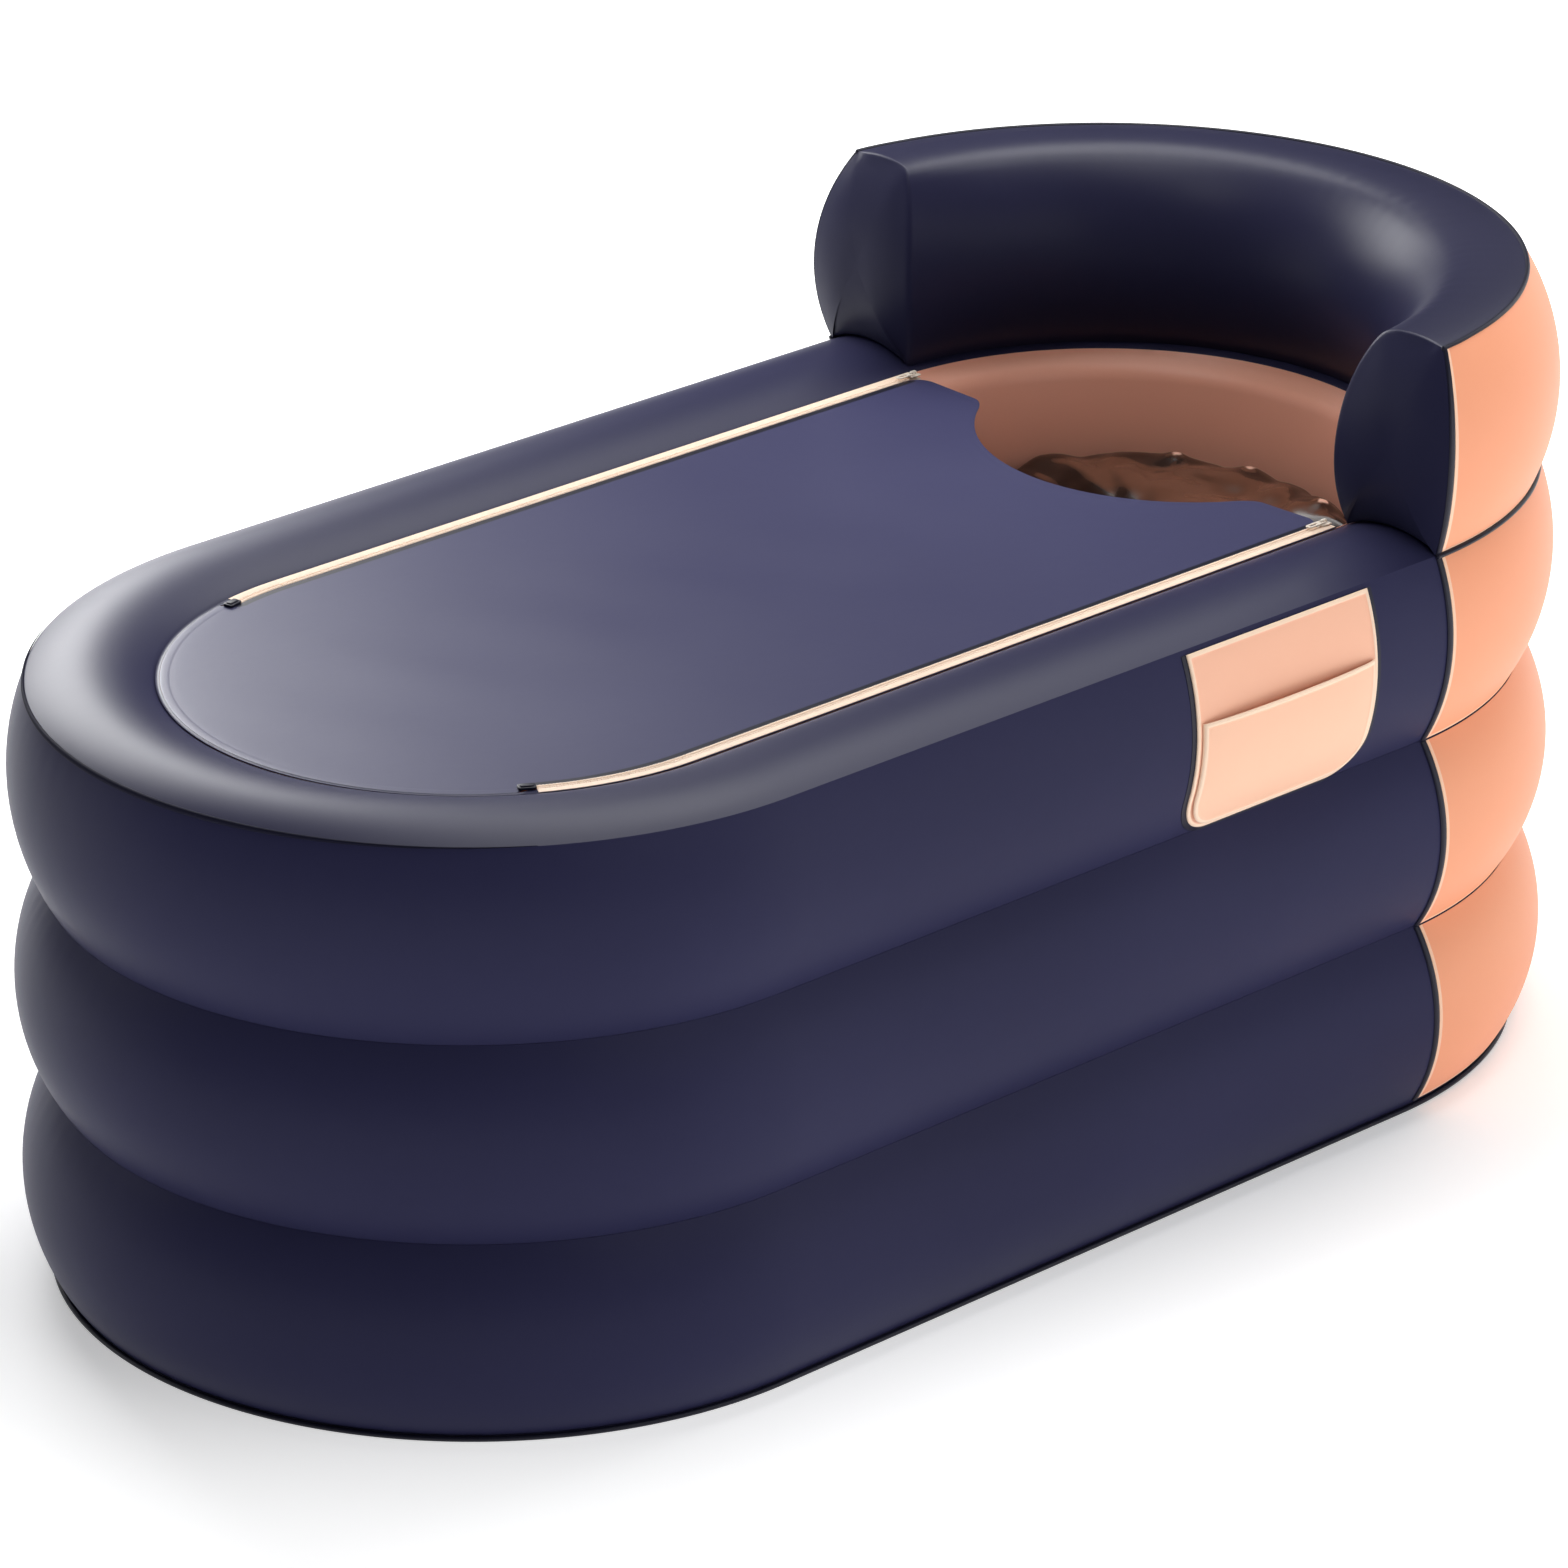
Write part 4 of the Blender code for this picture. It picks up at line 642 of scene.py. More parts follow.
# %% [markdown]
# The bath stands on a flat sheet that closes it from below, with a dark cord welded
# round its edge. The cord is what draws the thin black line under the lowest ring. A
# second cord lies between the backrest and the top ring, and a third one marks the
# shoulder seam round the foot end, where two sheets of the top ring meet.

# %% Dark trim and the cords
NAVY_DARK = (0.008, 0.008, 0.020)
NAVY_DARK_WORN = (0.014, 0.014, 0.030)
dark_trim = vinyl("dark_trim", NAVY_DARK, NAVY_DARK_WORN, 0.42, grain=0.6, shine=0.25)
CORD_RADIUS = 0.0025
BASE_CORD = (0.0242, 0.0028)
SEAT_CORD = (0.0157, 0.5508)
HEAD_TURN = 88.0
CORD_SIDES = 14


def round_section(inset, height, radius, sides=CORD_SIDES):
    """The closed section of a cord round a point of the sheet."""
    turn = np.linspace(0, 2 * math.pi, sides, endpoint=False)[::-1]
    return np.column_stack([inset + radius * np.cos(turn), height + radius * np.sin(turn)])


base_cord = whole_skin("base_cord", round_section(*BASE_CORD, CORD_RADIUS))
dressed(base_cord, dark_trim, "dark_trim", "tub", "base_welt")
seat_run = with_walk(round_end(HALF_STRAIGHT, -HEAD_TURN, HEAD_TURN))
seat_cord = end_skin("seat_cord", seat_run, round_section(*SEAT_CORD, CORD_RADIUS), dome=0.001)
dressed(seat_cord, dark_trim, "dark_trim", "tub", "backrest_welt")

# %% [markdown]
# The shoulder seam's cord is as thick as a bootlace, a little thicker than the others,
# and matt, so it stays dark under the light. It sinks into the sheet at both ends,
# where the seam runs out: its push shrinks it to nothing over the last stretch.

# %% Shoulder seam
SEAM_CORD = 0.0027
SEAM_FROM, SEAM_TO = 124.0, 236.0
SEAM_RUN_OUT = 0.30
seam_trim = vinyl("seam_trim", NAVY_DARK, NAVY_DARK_WORN, 0.62, grain=0.6, shine=0.04)
seam_run = with_walk(round_end(-HALF_STRAIGHT, SEAM_FROM, SEAM_TO, 0.006))
seam_section = round_section(SHOULDER[0] - 0.0006, SHOULDER[1] + 0.0006, SEAM_CORD, 12)
run_out = np.minimum(seam_run[:, 3], seam_run[-1, 3] - seam_run[:, 3])
sunk = -SEAM_CORD * 0.9 * (1 - np.clip(run_out / SEAM_RUN_OUT, 0.0, 1.0))
shoulder_cord = end_skin(
    "shoulder_cord", seam_run, seam_section, push=np.repeat(sunk[:, None], len(seam_section), 1)
)
dressed(shoulder_cord, seam_trim, "navy_vinyl", "tub", "shoulder_seam_bead")

# %% Floor sheet
SHEET_INSET = 0.027
SHEET_THICKNESS = 0.0010
MIDLINE = 0.4099


def level_line(insets, height):
    """A flat section that reaches from an edge to the bath's middle line."""
    return np.array([[inset, height] for inset in (*insets, MIDLINE)])


sheet_top = level_line((SHEET_INSET, 0.090, 0.250), SHEET_THICKNESS)
ground_sheet = thin_solid(
    "ground_sheet", carried(WHOLE[:-1], sheet_top), carried(WHOLE[:-1], sheet_top * [1.0, 0.0]),
    WHOLE[:, 3], lengths(sheet_top), over_rows=True
)
dressed(ground_sheet, dark_trim, "dark_trim", "tub", "floor_sheet")

# %% [markdown]
# ## The head end
# Round the head end the rings and the backrest carry a second skin in peach. On the
# real bath it is the same sheet in another colour, welded in along its sides, and the
# side welds are covered by dark tapes. A pale line beside each tape and along the lower
# edge is partly the real hem and partly a painted highlight on the folded edge. The panel
# lies over the belly like a second skin, so its grid is the belly's own, pushed out.

# %% Peach vinyl
PEACH = (0.900, 0.372, 0.214)
PEACH_PALE = (0.915, 0.398, 0.234)
PEACH_HEM_AND_HIGHLIGHT = (0.960, 0.620, 0.440)
HEM_AND_HIGHLIGHT_WIDTH = 0.0045


def pale_edged_vinyl(name, colour, paler, hem, gloss, hem_width):
    """Vinyl with a pale edge: UV holds the distance from the sides and from the lower edge."""
    finish = vinyl(name, colour, paler, gloss, shine=0.10)
    inside = finish.cloth.part(0).rise(hem_width * 0.8, hem_width)
    above = finish.cloth.part(1).rise(hem_width * 0.5, hem_width * 0.8)
    finish.feed("Base Color", (inside * above).blend_colours(hem, finish.colour()))
    return finish


# On the head panels the pale edge is partly the hem and partly a painted highlight.
peach_vinyl = pale_edged_vinyl("peach_vinyl", PEACH, PEACH_PALE, PEACH_HEM_AND_HIGHLIGHT, 0.44, HEM_AND_HIGHLIGHT_WIDTH)

# %% Panels and tapes
PANEL_OFF = 0.0006
PANEL_THICKNESS = 0.0006
TAPE = 0.0070
TAPE_RISE = 0.0016
TAPE_DEGREES = math.degrees(TAPE / END_RADIUS)
OVER_CORD = 2 * CORD_RADIUS + 0.004
PANEL_MARGIN = 0.0016
BACKREST_SEAT = 0.5511
BACKREST_TOP = 0.740
END_LEAN = 0.018
END_BOW = 0.016
BOW_FROM = 77.0


def bowed(run, points):
    """Leans the backrest's ends and bows them out; lower points stay where they are."""
    turn = np.degrees(np.arctan2(np.abs(run[:, 2]), run[:, 1]))
    near_end = np.clip((turn - BOW_FROM) / (HEAD_TURN - BOW_FROM), 0.0, 1.0)[:, None] ** 1.4
    up = np.clip((points[:, :, 2] - BACKREST_SEAT) / (BACKREST_TOP - BACKREST_SEAT), 0.0, 1.0)
    points[:, :, 0] += near_end * (END_LEAN * up - END_BOW * 4 * up * (1 - up))
    return points


def between(arc, low, high):
    """The part of an arc between two heights."""
    inside = (arc[:, 1] > low) & (arc[:, 1] < high)
    heights = np.unique(np.concatenate([[low], arc[inside, 1], [high]]))
    return np.column_stack([np.interp(heights, arc[:, 1], arc[:, 0]), heights])


def over_skin(name, run, arc, rise):
    """A thin solid over an outer arc: rise is its thickness at each point of the grid."""
    rise = np.broadcast_to(rise, (len(run), len(arc)))
    inner = bowed(run, carried(run, arc, np.full(rise.shape, PANEL_OFF)))
    outer = bowed(run, carried(run, arc, PANEL_OFF + rise))
    edge = np.minimum(run[:, 3], run[-1, 3] - run[:, 3])
    return thin_solid(name, outer, inner, edge, lengths(arc))


def head_panel(level, arc):
    """A level's peach panel with a dark half-round tape down each side."""
    start = HEAD_TURN - TAPE_DEGREES - 0.05
    run = with_walk(round_end(HALF_STRAIGHT, -start, start, 0.006))
    panel = over_skin(level + "_panel", run, arc, PANEL_THICKNESS)
    dressed(panel, peach_vinyl, "peach_vinyl", "tub", level + "_head_panel")
    inner_edge = HEAD_TURN - TAPE_DEGREES
    for side, low, high in (("near", -HEAD_TURN, -inner_edge), ("far", inner_edge, HEAD_TURN)):
        tape_run = with_walk(round_end(HALF_STRAIGHT, low, high, 0.0008))
        middle = tape_run[-1, 3] / 2
        arch = np.sqrt(np.clip(1 - ((tape_run[:, 3] - middle) / middle) ** 2, 0.0, 1.0))
        tape = over_skin(f"{level}_tape_{side}", tape_run, arc, 0.0002 + TAPE_RISE * arch[:, None])
        dressed(tape, dark_trim, "dark_trim", "tub", f"{level}_panel_tape_{side}")
    return panel


ring_arcs = {
    "lower": between(belly(FLOOR_TOP, TIER_HEIGHT), FLOOR_TOP + OVER_CORD, TIER_HEIGHT - PANEL_MARGIN),
    "middle": between(
        belly(TIER_HEIGHT, MIDDLE_TOP), TIER_HEIGHT + PANEL_MARGIN, MIDDLE_TOP - PANEL_MARGIN
    ),
    "upper": between(top_ring_wall(MIDDLE_TOP), MIDDLE_TOP + PANEL_MARGIN, SHOULDER[1] - PANEL_MARGIN),
}
panels = {level: head_panel(level, arc) for level, arc in ring_arcs.items()}
print("panels:", sorted(panels))

# %% [markdown]
# ## The backrest
# The shoulder cushion is a C of its own: a broad outer belly that carries on the line
# of the rings, a narrow top with a crisp outer edge, and an inner wall that swells
# towards the bather. Its two ends are flat sheets that bow out a little under the air.
# Its inner top edge is round, which is where the photograph shows the light run along.

# %% Backrest skin
TOP_OUTER = (0.034, BACKREST_TOP)
TOP_INNER = (0.103, BACKREST_TOP)
INNER_FOOT_INSET = 0.125
OUTER_SWELL = 0.025
INNER_SIDE_SWELL = 0.040
TOP_SWELL = 0.004
EDGE_ROUND = 0.013
END_DOME = 0.005
END_ROUND = 0.007
ARM_EASE, ARM_LENGTH = 0.020, 0.16
BACKREST_PUCKER = 0.00020
SEAT_LIFT = 0.0009

backrest_wall = swell((SHOULDER[0], BACKREST_SEAT), TOP_OUTER, OUTER_SWELL)
top_sheet = swell(TOP_OUTER, TOP_INNER, TOP_SWELL, 0.006)
seat_heights = over_crown[over_crown[:, 0] < INNER_FOOT_INSET] + [0.0, SEAT_LIFT]
seat_end = np.array([INNER_FOOT_INSET, np.interp(INNER_FOOT_INSET, *over_crown.T) + SEAT_LIFT])
inner_side = swell(TOP_INNER, seat_end, INNER_SIDE_SWELL, 0.008)
backrest_section = chained(backrest_wall, top_sheet)
inner_corner = len(backrest_section) - 1
backrest_section = np.vstack([backrest_section, inner_side[1:], seat_heights[::-1][:-1]])
keep_off = lengths(backrest_section)
corner_at = keep_off[inner_corner]
clear = np.abs(keep_off - corner_at) > EDGE_ROUND * 1.02
clear[inner_corner] = True
inner_corner = int(np.count_nonzero(clear[:inner_corner]))
backrest_section = eased(backrest_section[clear], inner_corner, EDGE_ROUND)

BACK_NAVY = (0.020, 0.020, 0.050)
BACK_NAVY_PALE = (0.026, 0.026, 0.062)
backrest_vinyl = filmed(vinyl("backrest_vinyl", BACK_NAVY, BACK_NAVY_PALE, 0.35, shine=0.08), 0.44)
FINE_END = 1.2
backrest_run = joined(
    round_end(HALF_STRAIGHT, -HEAD_TURN, FINE_END - HEAD_TURN, 0.001),
    round_end(HALF_STRAIGHT, FINE_END - HEAD_TURN, HEAD_TURN - FINE_END),
    round_end(HALF_STRAIGHT, HEAD_TURN - FINE_END, HEAD_TURN, 0.001)
)
backrest_walk = lengths(backrest_section)
to_weld = np.minimum(backrest_walk, np.abs(backrest_walk - corner_at))
backrest_push = puckers(backrest_run, to_weld, BACKREST_PUCKER, 31)
still = (backrest_walk < 0.002) | (backrest_walk > corner_at + 0.20)
backrest_push[:, still] = 0.0
to_end = np.minimum(backrest_run[:, 3], backrest_run[-1, 3] - backrest_run[:, 3])
inner_share = np.clip((backrest_walk - lengths(backrest_wall)[-1]) / 0.05, 0.0, 1.0)
from_round = 1 - np.clip(to_end / END_ROUND, 0, 1)
round_off = END_ROUND * (1 - np.sqrt(np.clip(1 - from_round ** 2, 0, 1)))
backrest_push -= round_off[:, None] * inner_share[None, :]
down_inside = np.clip((backrest_walk - corner_at) / lengths(inner_side)[-1], 0.0, 1.0)
slim = np.clip(1 - to_end / ARM_LENGTH, 0.0, 1.0) ** 1.5
backrest_push -= ARM_EASE * slim[:, None] * np.sin(math.pi * down_inside)[None, :]
backrest = end_skin(
    "backrest_skin", backrest_run, backrest_section, END_DOME, backrest_push, shift=bowed
)
dressed(backrest, backrest_vinyl, "navy_vinyl", "tub", "backrest")
backrest_arc = between(backrest_wall, BACKREST_SEAT + PANEL_MARGIN, BACKREST_TOP - 0.0003)
panels["backrest"] = head_panel("backrest", backrest_arc)
print("backrest:", len(backrest.data.vertices), "points")

# %% [markdown]
# A dark piping closes the panel along the backrest's outer top edge. It has no solid of
# its own in the frame, because it is part of the chamber's skin, so it rides with it.

# %% Top piping
PIPING = 0.0022
piping_section = round_section(TOP_OUTER[0] - 0.0006, TOP_OUTER[1] - 0.0004, PIPING, 10)
piping = end_skin("top_piping", backrest_run, piping_section, dome=0.001, shift=bowed)
dressed(piping, dark_trim, "dark_trim", "tub")

# %% [markdown]
# ## The zipped cover
# The cover keeps the heat in. It is one sheet in use, but it folds back in two places,
# so the frame has three solids for it: a fixed foot, a middle that turns up at the end
# of the straight sides, and a head that folds over the middle. A narrow strip of the
# rim's own sheet carries the zips. Round the foot end the cover's hem hides most of it.

# %% The strip that carries the zips
COVER_LEVEL = 0.548
COVER_HALF_WIDTH = 0.2625
COVER_FOOT_RADIUS = 0.2745
COVER_HEAD_X = 0.395
HINGE_X = -0.390
FOLD_X = 0.010
STRIP_START = 0.1314
STRIP_EDGE_SIDE = 0.1393
STRIP_EDGE_FOOT = 0.1352
NEAR_ZIP_TURN, FAR_ZIP_TURN = 30.7, 11.5
STOP_TURN = 3.4

rim_run = joined(
    along_side(1, COVER_HEAD_X, -HALF_STRAIGHT), round_end(-HALF_STRAIGHT, 90, 270),
    along_side(-1, -HALF_STRAIGHT, COVER_HEAD_X)
)
plan_turn = np.degrees(np.arctan2(rim_run[:, 2], rim_run[:, 1])) % 360
far_limit = 90 + FAR_ZIP_TURN + STOP_TURN / 2
near_limit = 270 - NEAR_ZIP_TURN - STOP_TURN / 2


def between_zips(turn, ease):
    """1 on the stretch of the foot end that no zip reaches, and 0 along the zips."""
    return np.clip((turn - far_limit) / ease, 0, 1) * np.clip((near_limit - turn) / ease, 0, 1)


past_zips = between_zips(plan_turn, 1.2)
strip_edge = STRIP_EDGE_SIDE + (STRIP_EDGE_FOOT - STRIP_EDGE_SIDE) * past_zips
strip_share = np.linspace(0, 1, 13)
strip_inset = STRIP_START + (strip_edge[:, None] - STRIP_START) * strip_share[None, :]
trough = 0.0004 * np.sin(math.pi * strip_share)[None, :] * np.ones_like(strip_inset)
strip_points = np.stack(
    [rim_run[:, :1] + (END_RADIUS - strip_inset) * rim_run[:, 1:2],
     (END_RADIUS - strip_inset) * rim_run[:, 2:3], COVER_LEVEL + 0.0003 - trough], axis=2
)
rim_strip = thin_solid("rim_strip", strip_points, strip_points - [0, 0, 0.0006], rim_run[:, 3])
dressed(rim_strip, navy_vinyl, "navy_vinyl", "tub", "rim_flange")

# %% [markdown]
# The cover is a heavier vinyl with a matt, greyer face. Along the zips its hem carries a
# dark band of painted shadow, for the thin shadow line beside each zip. Round the foot
# and at the scoop the hem is bare, turned under once and nearly flat. The UV of all three
# sheets holds the distance from the hem and a second number that says which of the two
# hems it is.

# %% Cover vinyl
COVER_NAVY = (0.043, 0.043, 0.106)
COVER_NAVY_PALE = (0.050, 0.050, 0.118)
ZIP_SHADOW_BAND = 0.0075
cover_vinyl = vinyl("cover_vinyl", COVER_NAVY, COVER_NAVY_PALE, 0.36, wander=0.08, shine=0.30)
from_hem, bare_hem = cover_vinyl.cloth.part(0), cover_vinyl.cloth.part(1)
# Painted shadow: a dark band on the hem along the zips.
painted_zip_shadow = (1 - from_hem.rise(ZIP_SHADOW_BAND * 0.8, ZIP_SHADOW_BAND)) * (1 - bare_hem)
cover_vinyl.feed("Base Color", painted_zip_shadow.blend_colours(cover_vinyl.colour(), NAVY_DARK))
print("cover finish:", len(cover_vinyl.material.node_tree.nodes), "nodes")

# %% [markdown]
# A cover that size is never quite flat. It hangs three millimetres between the zips,
# and faint waves run across it where the zips pull unevenly. All three sheets take
# their height from one function of place, so they meet exactly at the fold lines.

# %% The sheets' form
COVER_SAG = 0.0030
COVER_WAVE = 0.00022
COVER_THICKNESS = 0.0008
HEM_RISE = 0.00015
HEM_WIDTH = 0.0080


def cover_height(x, y):
    """Height of the cover's upper face at a place."""
    reach = np.where(x < HINGE_X, np.hypot(x - HINGE_X, y), np.abs(y))
    share = np.clip(reach / COVER_HALF_WIDTH, 0, 1)
    slack = 1 - share ** 2.4
    ripple = np.sin(41 * x + 3 * np.sin(5 * y)) * np.sin(9 * y + 1.3) + 0.6 * np.sin(23 * x - 17 * y)
    return COVER_LEVEL + COVER_THICKNESS / 2 - COVER_SAG * slack + COVER_WAVE * ripple * slack


def bead(distance, width, rise):
    """Height of a half-round bead of a width that runs along an edge."""
    half = width / 2
    return rise * np.sqrt(np.clip(1 - ((distance - half) / half) ** 2, 0, 1))


def cover_sheet(name, plan, hem, bare, node, body):
    """One sheet of the cover from a grid of plan points and their distance from the hem."""
    x, y = plan[..., 0], plan[..., 1]
    top = np.stack([x, y, cover_height(x, y) + bead(hem, HEM_WIDTH, HEM_RISE) * bare], axis=2)
    under = np.stack([x, y, cover_height(x, y) - COVER_THICKNESS], axis=2)
    piece = thin_solid(name, top, under)
    marked(piece, hem, bare)
    return dressed(piece, cover_vinyl, "cover_vinyl", body, node)


def graded(start, end, count):
    """Numbers from start to end that crowd together near both ends."""
    return start + (end - start) * (0.5 - 0.5 * np.cos(math.pi * np.linspace(0, 1, count)))


# %% Foot sheet
turns = np.linspace(90, 270, 121)
spokes = np.concatenate([[0.002], np.linspace(0.02, 0.94, 32), np.linspace(0.965, 1.0, 15)])
foot_bare = between_zips(turns, 1.5)
foot_reach = COVER_HALF_WIDTH + (COVER_FOOT_RADIUS - COVER_HALF_WIDTH) * foot_bare
reach = foot_reach[:, None] * spokes[None, :]
foot_plan = np.stack(
    [HINGE_X + reach * np.cos(np.radians(turns))[:, None], reach * np.sin(np.radians(turns))[:, None]],
    axis=2
)[:, ::-1]
foot_hem = (foot_reach[:, None] - reach)[:, ::-1]
cover_foot = cover_sheet(
    "cover_foot_sheet", foot_plan, foot_hem, foot_bare[:, None], "cover_foot", "tub"
)

# %% Middle sheet
across = graded(-COVER_HALF_WIDTH, COVER_HALF_WIDTH, 71)
side_hem = COVER_HALF_WIDTH - np.abs(across)
lengthwise = np.linspace(HINGE_X, FOLD_X, 91)
middle_plan = np.stack(np.meshgrid(lengthwise, across, indexing="ij"), axis=2)
middle_hem = np.broadcast_to(side_hem, middle_plan.shape[:2])
cover_middle = cover_sheet(
    "cover_middle_sheet", middle_plan, middle_hem, 0.0, "cover_middle_flap", None
)

# %% [markdown]
# The head sheet ends in a scoop for the bather's neck. Its edge is a function of how
# far across one stands, so the grid runs from the fold line to that edge in each of
# its columns. The scoop's two tips and the outer tabs are rounded.

# %% Head sheet
SCOOP_RADIUS = 0.200
SCOOP_DEPTH = 0.104
TAB_ROUND = 0.020
TIP_ROUND = 0.012


def head_edge(y):
    """X of the cover's head edge at a distance across."""
    y = np.abs(np.asarray(y, float))
    centre = COVER_HEAD_X - SCOOP_DEPTH + SCOOP_RADIUS
    scoop = centre - np.sqrt(np.clip(SCOOP_RADIUS ** 2 - y ** 2, 0, None))
    over = np.clip(y - (COVER_HALF_WIDTH - TAB_ROUND), 0, TAB_ROUND)
    tab = COVER_HEAD_X - TAB_ROUND + np.sqrt(np.clip(TAB_ROUND ** 2 - over ** 2, 0, None))
    tip_at = math.sqrt(SCOOP_RADIUS ** 2 - (SCOOP_RADIUS - SCOOP_DEPTH) ** 2)
    bevel = np.clip((y - tip_at + TIP_ROUND) / (2 * TIP_ROUND), 0, 1)
    edge = np.where(y < tip_at, scoop, tab)
    left = centre - math.sqrt(SCOOP_RADIUS ** 2 - (tip_at - TIP_ROUND) ** 2)
    over_tip = 2 * bevel * (1 - bevel) * (COVER_HEAD_X - 0.001)
    curve = (1 - bevel) ** 2 * left + over_tip + bevel ** 2 * COVER_HEAD_X
    return np.where((bevel > 0) & (bevel < 1), curve, edge)


round_tip = np.linspace(0.155, 0.195, 21)
head_across = np.unique(np.concatenate([across, round_tip, -round_tip]))
edge_x = head_edge(head_across)
head_share = np.concatenate([np.linspace(0, 0.94, 66), [0.955, 0.97, 0.98, 0.988, 0.994, 1.0]])
head_x = FOLD_X + (edge_x[None, :] - FOLD_X) * head_share[:, None]
head_plan = np.stack([head_x, np.broadcast_to(head_across, head_x.shape)], axis=2)
head_hem = np.minimum((COVER_HALF_WIDTH - np.abs(head_across))[None, :], 1.0) * np.ones_like(head_x)
front_gap = edge_x[None, :] - head_x
front_bare = (front_gap < head_hem).astype(float)
cover_head = cover_sheet(
    "cover_head_sheet", head_plan, np.minimum(head_hem, front_gap), front_bare, "cover_head_flap", None
)

# %% [markdown]
# At a fold the real sheet rolls over in a short curl. Each moving sheet starts exactly
# on its fold line, and its place is baked into its mesh.


def turns_with(piece):
    """Bakes the piece's place into its mesh."""
    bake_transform(piece)


turns_with(cover_middle)
turns_with(cover_head)
strip_lengths = (edge_x[1:] + edge_x[:-1]) / 2 - FOLD_X
head_area = float(np.sum(strip_lengths * np.diff(head_across)))

# %% [markdown]
# ## Zips
# The zips are nylon coils in cream, the one detail that the photograph draws sharply
# from end to end. A coil is a row of loops 3 mm apart. I carry a half-round section
# along the zip and swell it once a loop. The loops on the cover's side stand half a
# pitch off those on the rim's side, as real ones do when they are closed.

# %% Zip finish
CREAM = (0.900, 0.680, 0.520)
CREAM_PALE = (0.930, 0.740, 0.590)
zip_nylon = vinyl("zip_nylon", CREAM, CREAM_PALE, 0.50, sheen=0.15, grain=0.4)
IVORY = (0.850, 0.760, 0.660)
IVORY_PALE = (0.880, 0.800, 0.710)
ivory_plastic = vinyl("ivory_plastic", IVORY, IVORY_PALE, 0.33, wander=0.06, grain=0.2, coat=0.15)

# %% Coils
ZIP_INSET = 0.1434
COIL_PITCH = 0.0030
COIL_STATION = 0.00075
COIL_GAP = 0.0005
COIL_WIDTH = 0.0033
COIL_RISE = 0.0013
LOOP_DEPTH = 0.0008
TAPE_ON_RIM = 0.0072
ARCH_TURN = np.linspace(0, math.pi, 7)


def zip_run(side, from_x, to_x, end_turn=0.0):
    """Stations of a zip: a straight stretch, then a turn round the foot end."""
    runs = []
    if abs(to_x - from_x) > 0:
        runs.append(along_side(side, from_x, to_x, COIL_STATION))
    if end_turn:
        edge = 90.0 if side > 0 else 270.0
        spacing = COIL_STATION * END_RADIUS / (END_RADIUS - ZIP_INSET)
        runs.append(round_end(-HALF_STRAIGHT, edge, edge + side * end_turn, spacing))
    return joined(*runs)


def coil_section(on_rim):
    """The closed section of half a coil, with the tape that carries it on the rim's side."""
    near = ZIP_INSET - COIL_GAP if on_rim else ZIP_INSET + COIL_GAP
    far = near - COIL_WIDTH if on_rim else near + COIL_WIDTH
    middle, half = (near + far) / 2, abs(far - near) / 2
    arch_height = COVER_LEVEL + 0.0002 + COIL_RISE * np.sin(ARCH_TURN)
    arch = np.column_stack([middle + half * np.cos(ARCH_TURN), arch_height])
    low = np.array([[middle - half, COVER_LEVEL - 0.0010], [middle + half, COVER_LEVEL - 0.0010]])
    if on_rim:
        tape_top = COVER_LEVEL + 0.0009
        tape = np.array([[far - TAPE_ON_RIM, tape_top], [far - TAPE_ON_RIM, tape_top - 0.0005]])
        arch[-1, 1] = tape_top
        return np.vstack([arch, tape, [[far, COVER_LEVEL + 0.0004]], low])
    return np.vstack([arch, low])


def signed_area(section):
    """The area inside a section, negative where its points run clockwise."""
    x, z = section.T
    return float(np.sum(x * np.roll(z, -1) - np.roll(x, -1) * z)) / 2


def half_coil(name, run, on_rim, body, node):
    """Half a zip's coil: its section, drawn in between the loops."""
    section = coil_section(on_rim)
    walked = run[:, 3]
    if abs(run[-1, 0] - run[0, 0]) < 1e-6:
        walked = walked * (END_RADIUS - ZIP_INSET) / END_RADIUS
    loop = np.abs(np.sin(math.pi * (walked / COIL_PITCH + 0.5 * on_rim))) ** 0.6
    on_arch = np.zeros(len(section))
    on_arch[1:6] = np.sin(ARCH_TURN)[1:6] ** 0.5
    push = -LOOP_DEPTH * (1 - loop)[:, None] * on_arch[None, :]
    if signed_area(section) > 0:
        push = -push
    piece = end_skin(name, run, section, push=push)
    return dressed(piece, zip_nylon, "zip_chain", body, node)


ZIP_HEAD_X = 0.383
for name, side, end_turn in (("near", -1, NEAR_ZIP_TURN), ("far", 1, FAR_ZIP_TURN)):
    stretches = {
        "rim": (zip_run(side, COVER_HEAD_X, -HALF_STRAIGHT, end_turn), True, "tub"),
        "foot": (zip_run(side, 0, 0, end_turn), False, "tub"),
        "middle": (zip_run(side, FOLD_X, HINGE_X), False, None),
        "head": (zip_run(side, ZIP_HEAD_X, FOLD_X), False, None),
    }
    halves = {
        part: half_coil(f"{name}_{part}_coil", *stretch, f"{name}_chain_{part}")
        for part, stretch in stretches.items()
    }
    turns_with(halves["middle"])
    turns_with(halves["head"])
coils = [o for o in bpy.data.objects if o.name.endswith("_coil")]
print("coils:", sum(len(o.data.vertices) for o in coils), "points in", len(coils))

# %% [markdown]
# ## Zip fittings
# Sliders, pulls and stops are small mouldings with round edges. A flat moulding is
# easiest as a filled curve: an outline, with windows as further outlines, given a
# thickness and a bevel. Only the bridge of the slider and its post stand on edge.

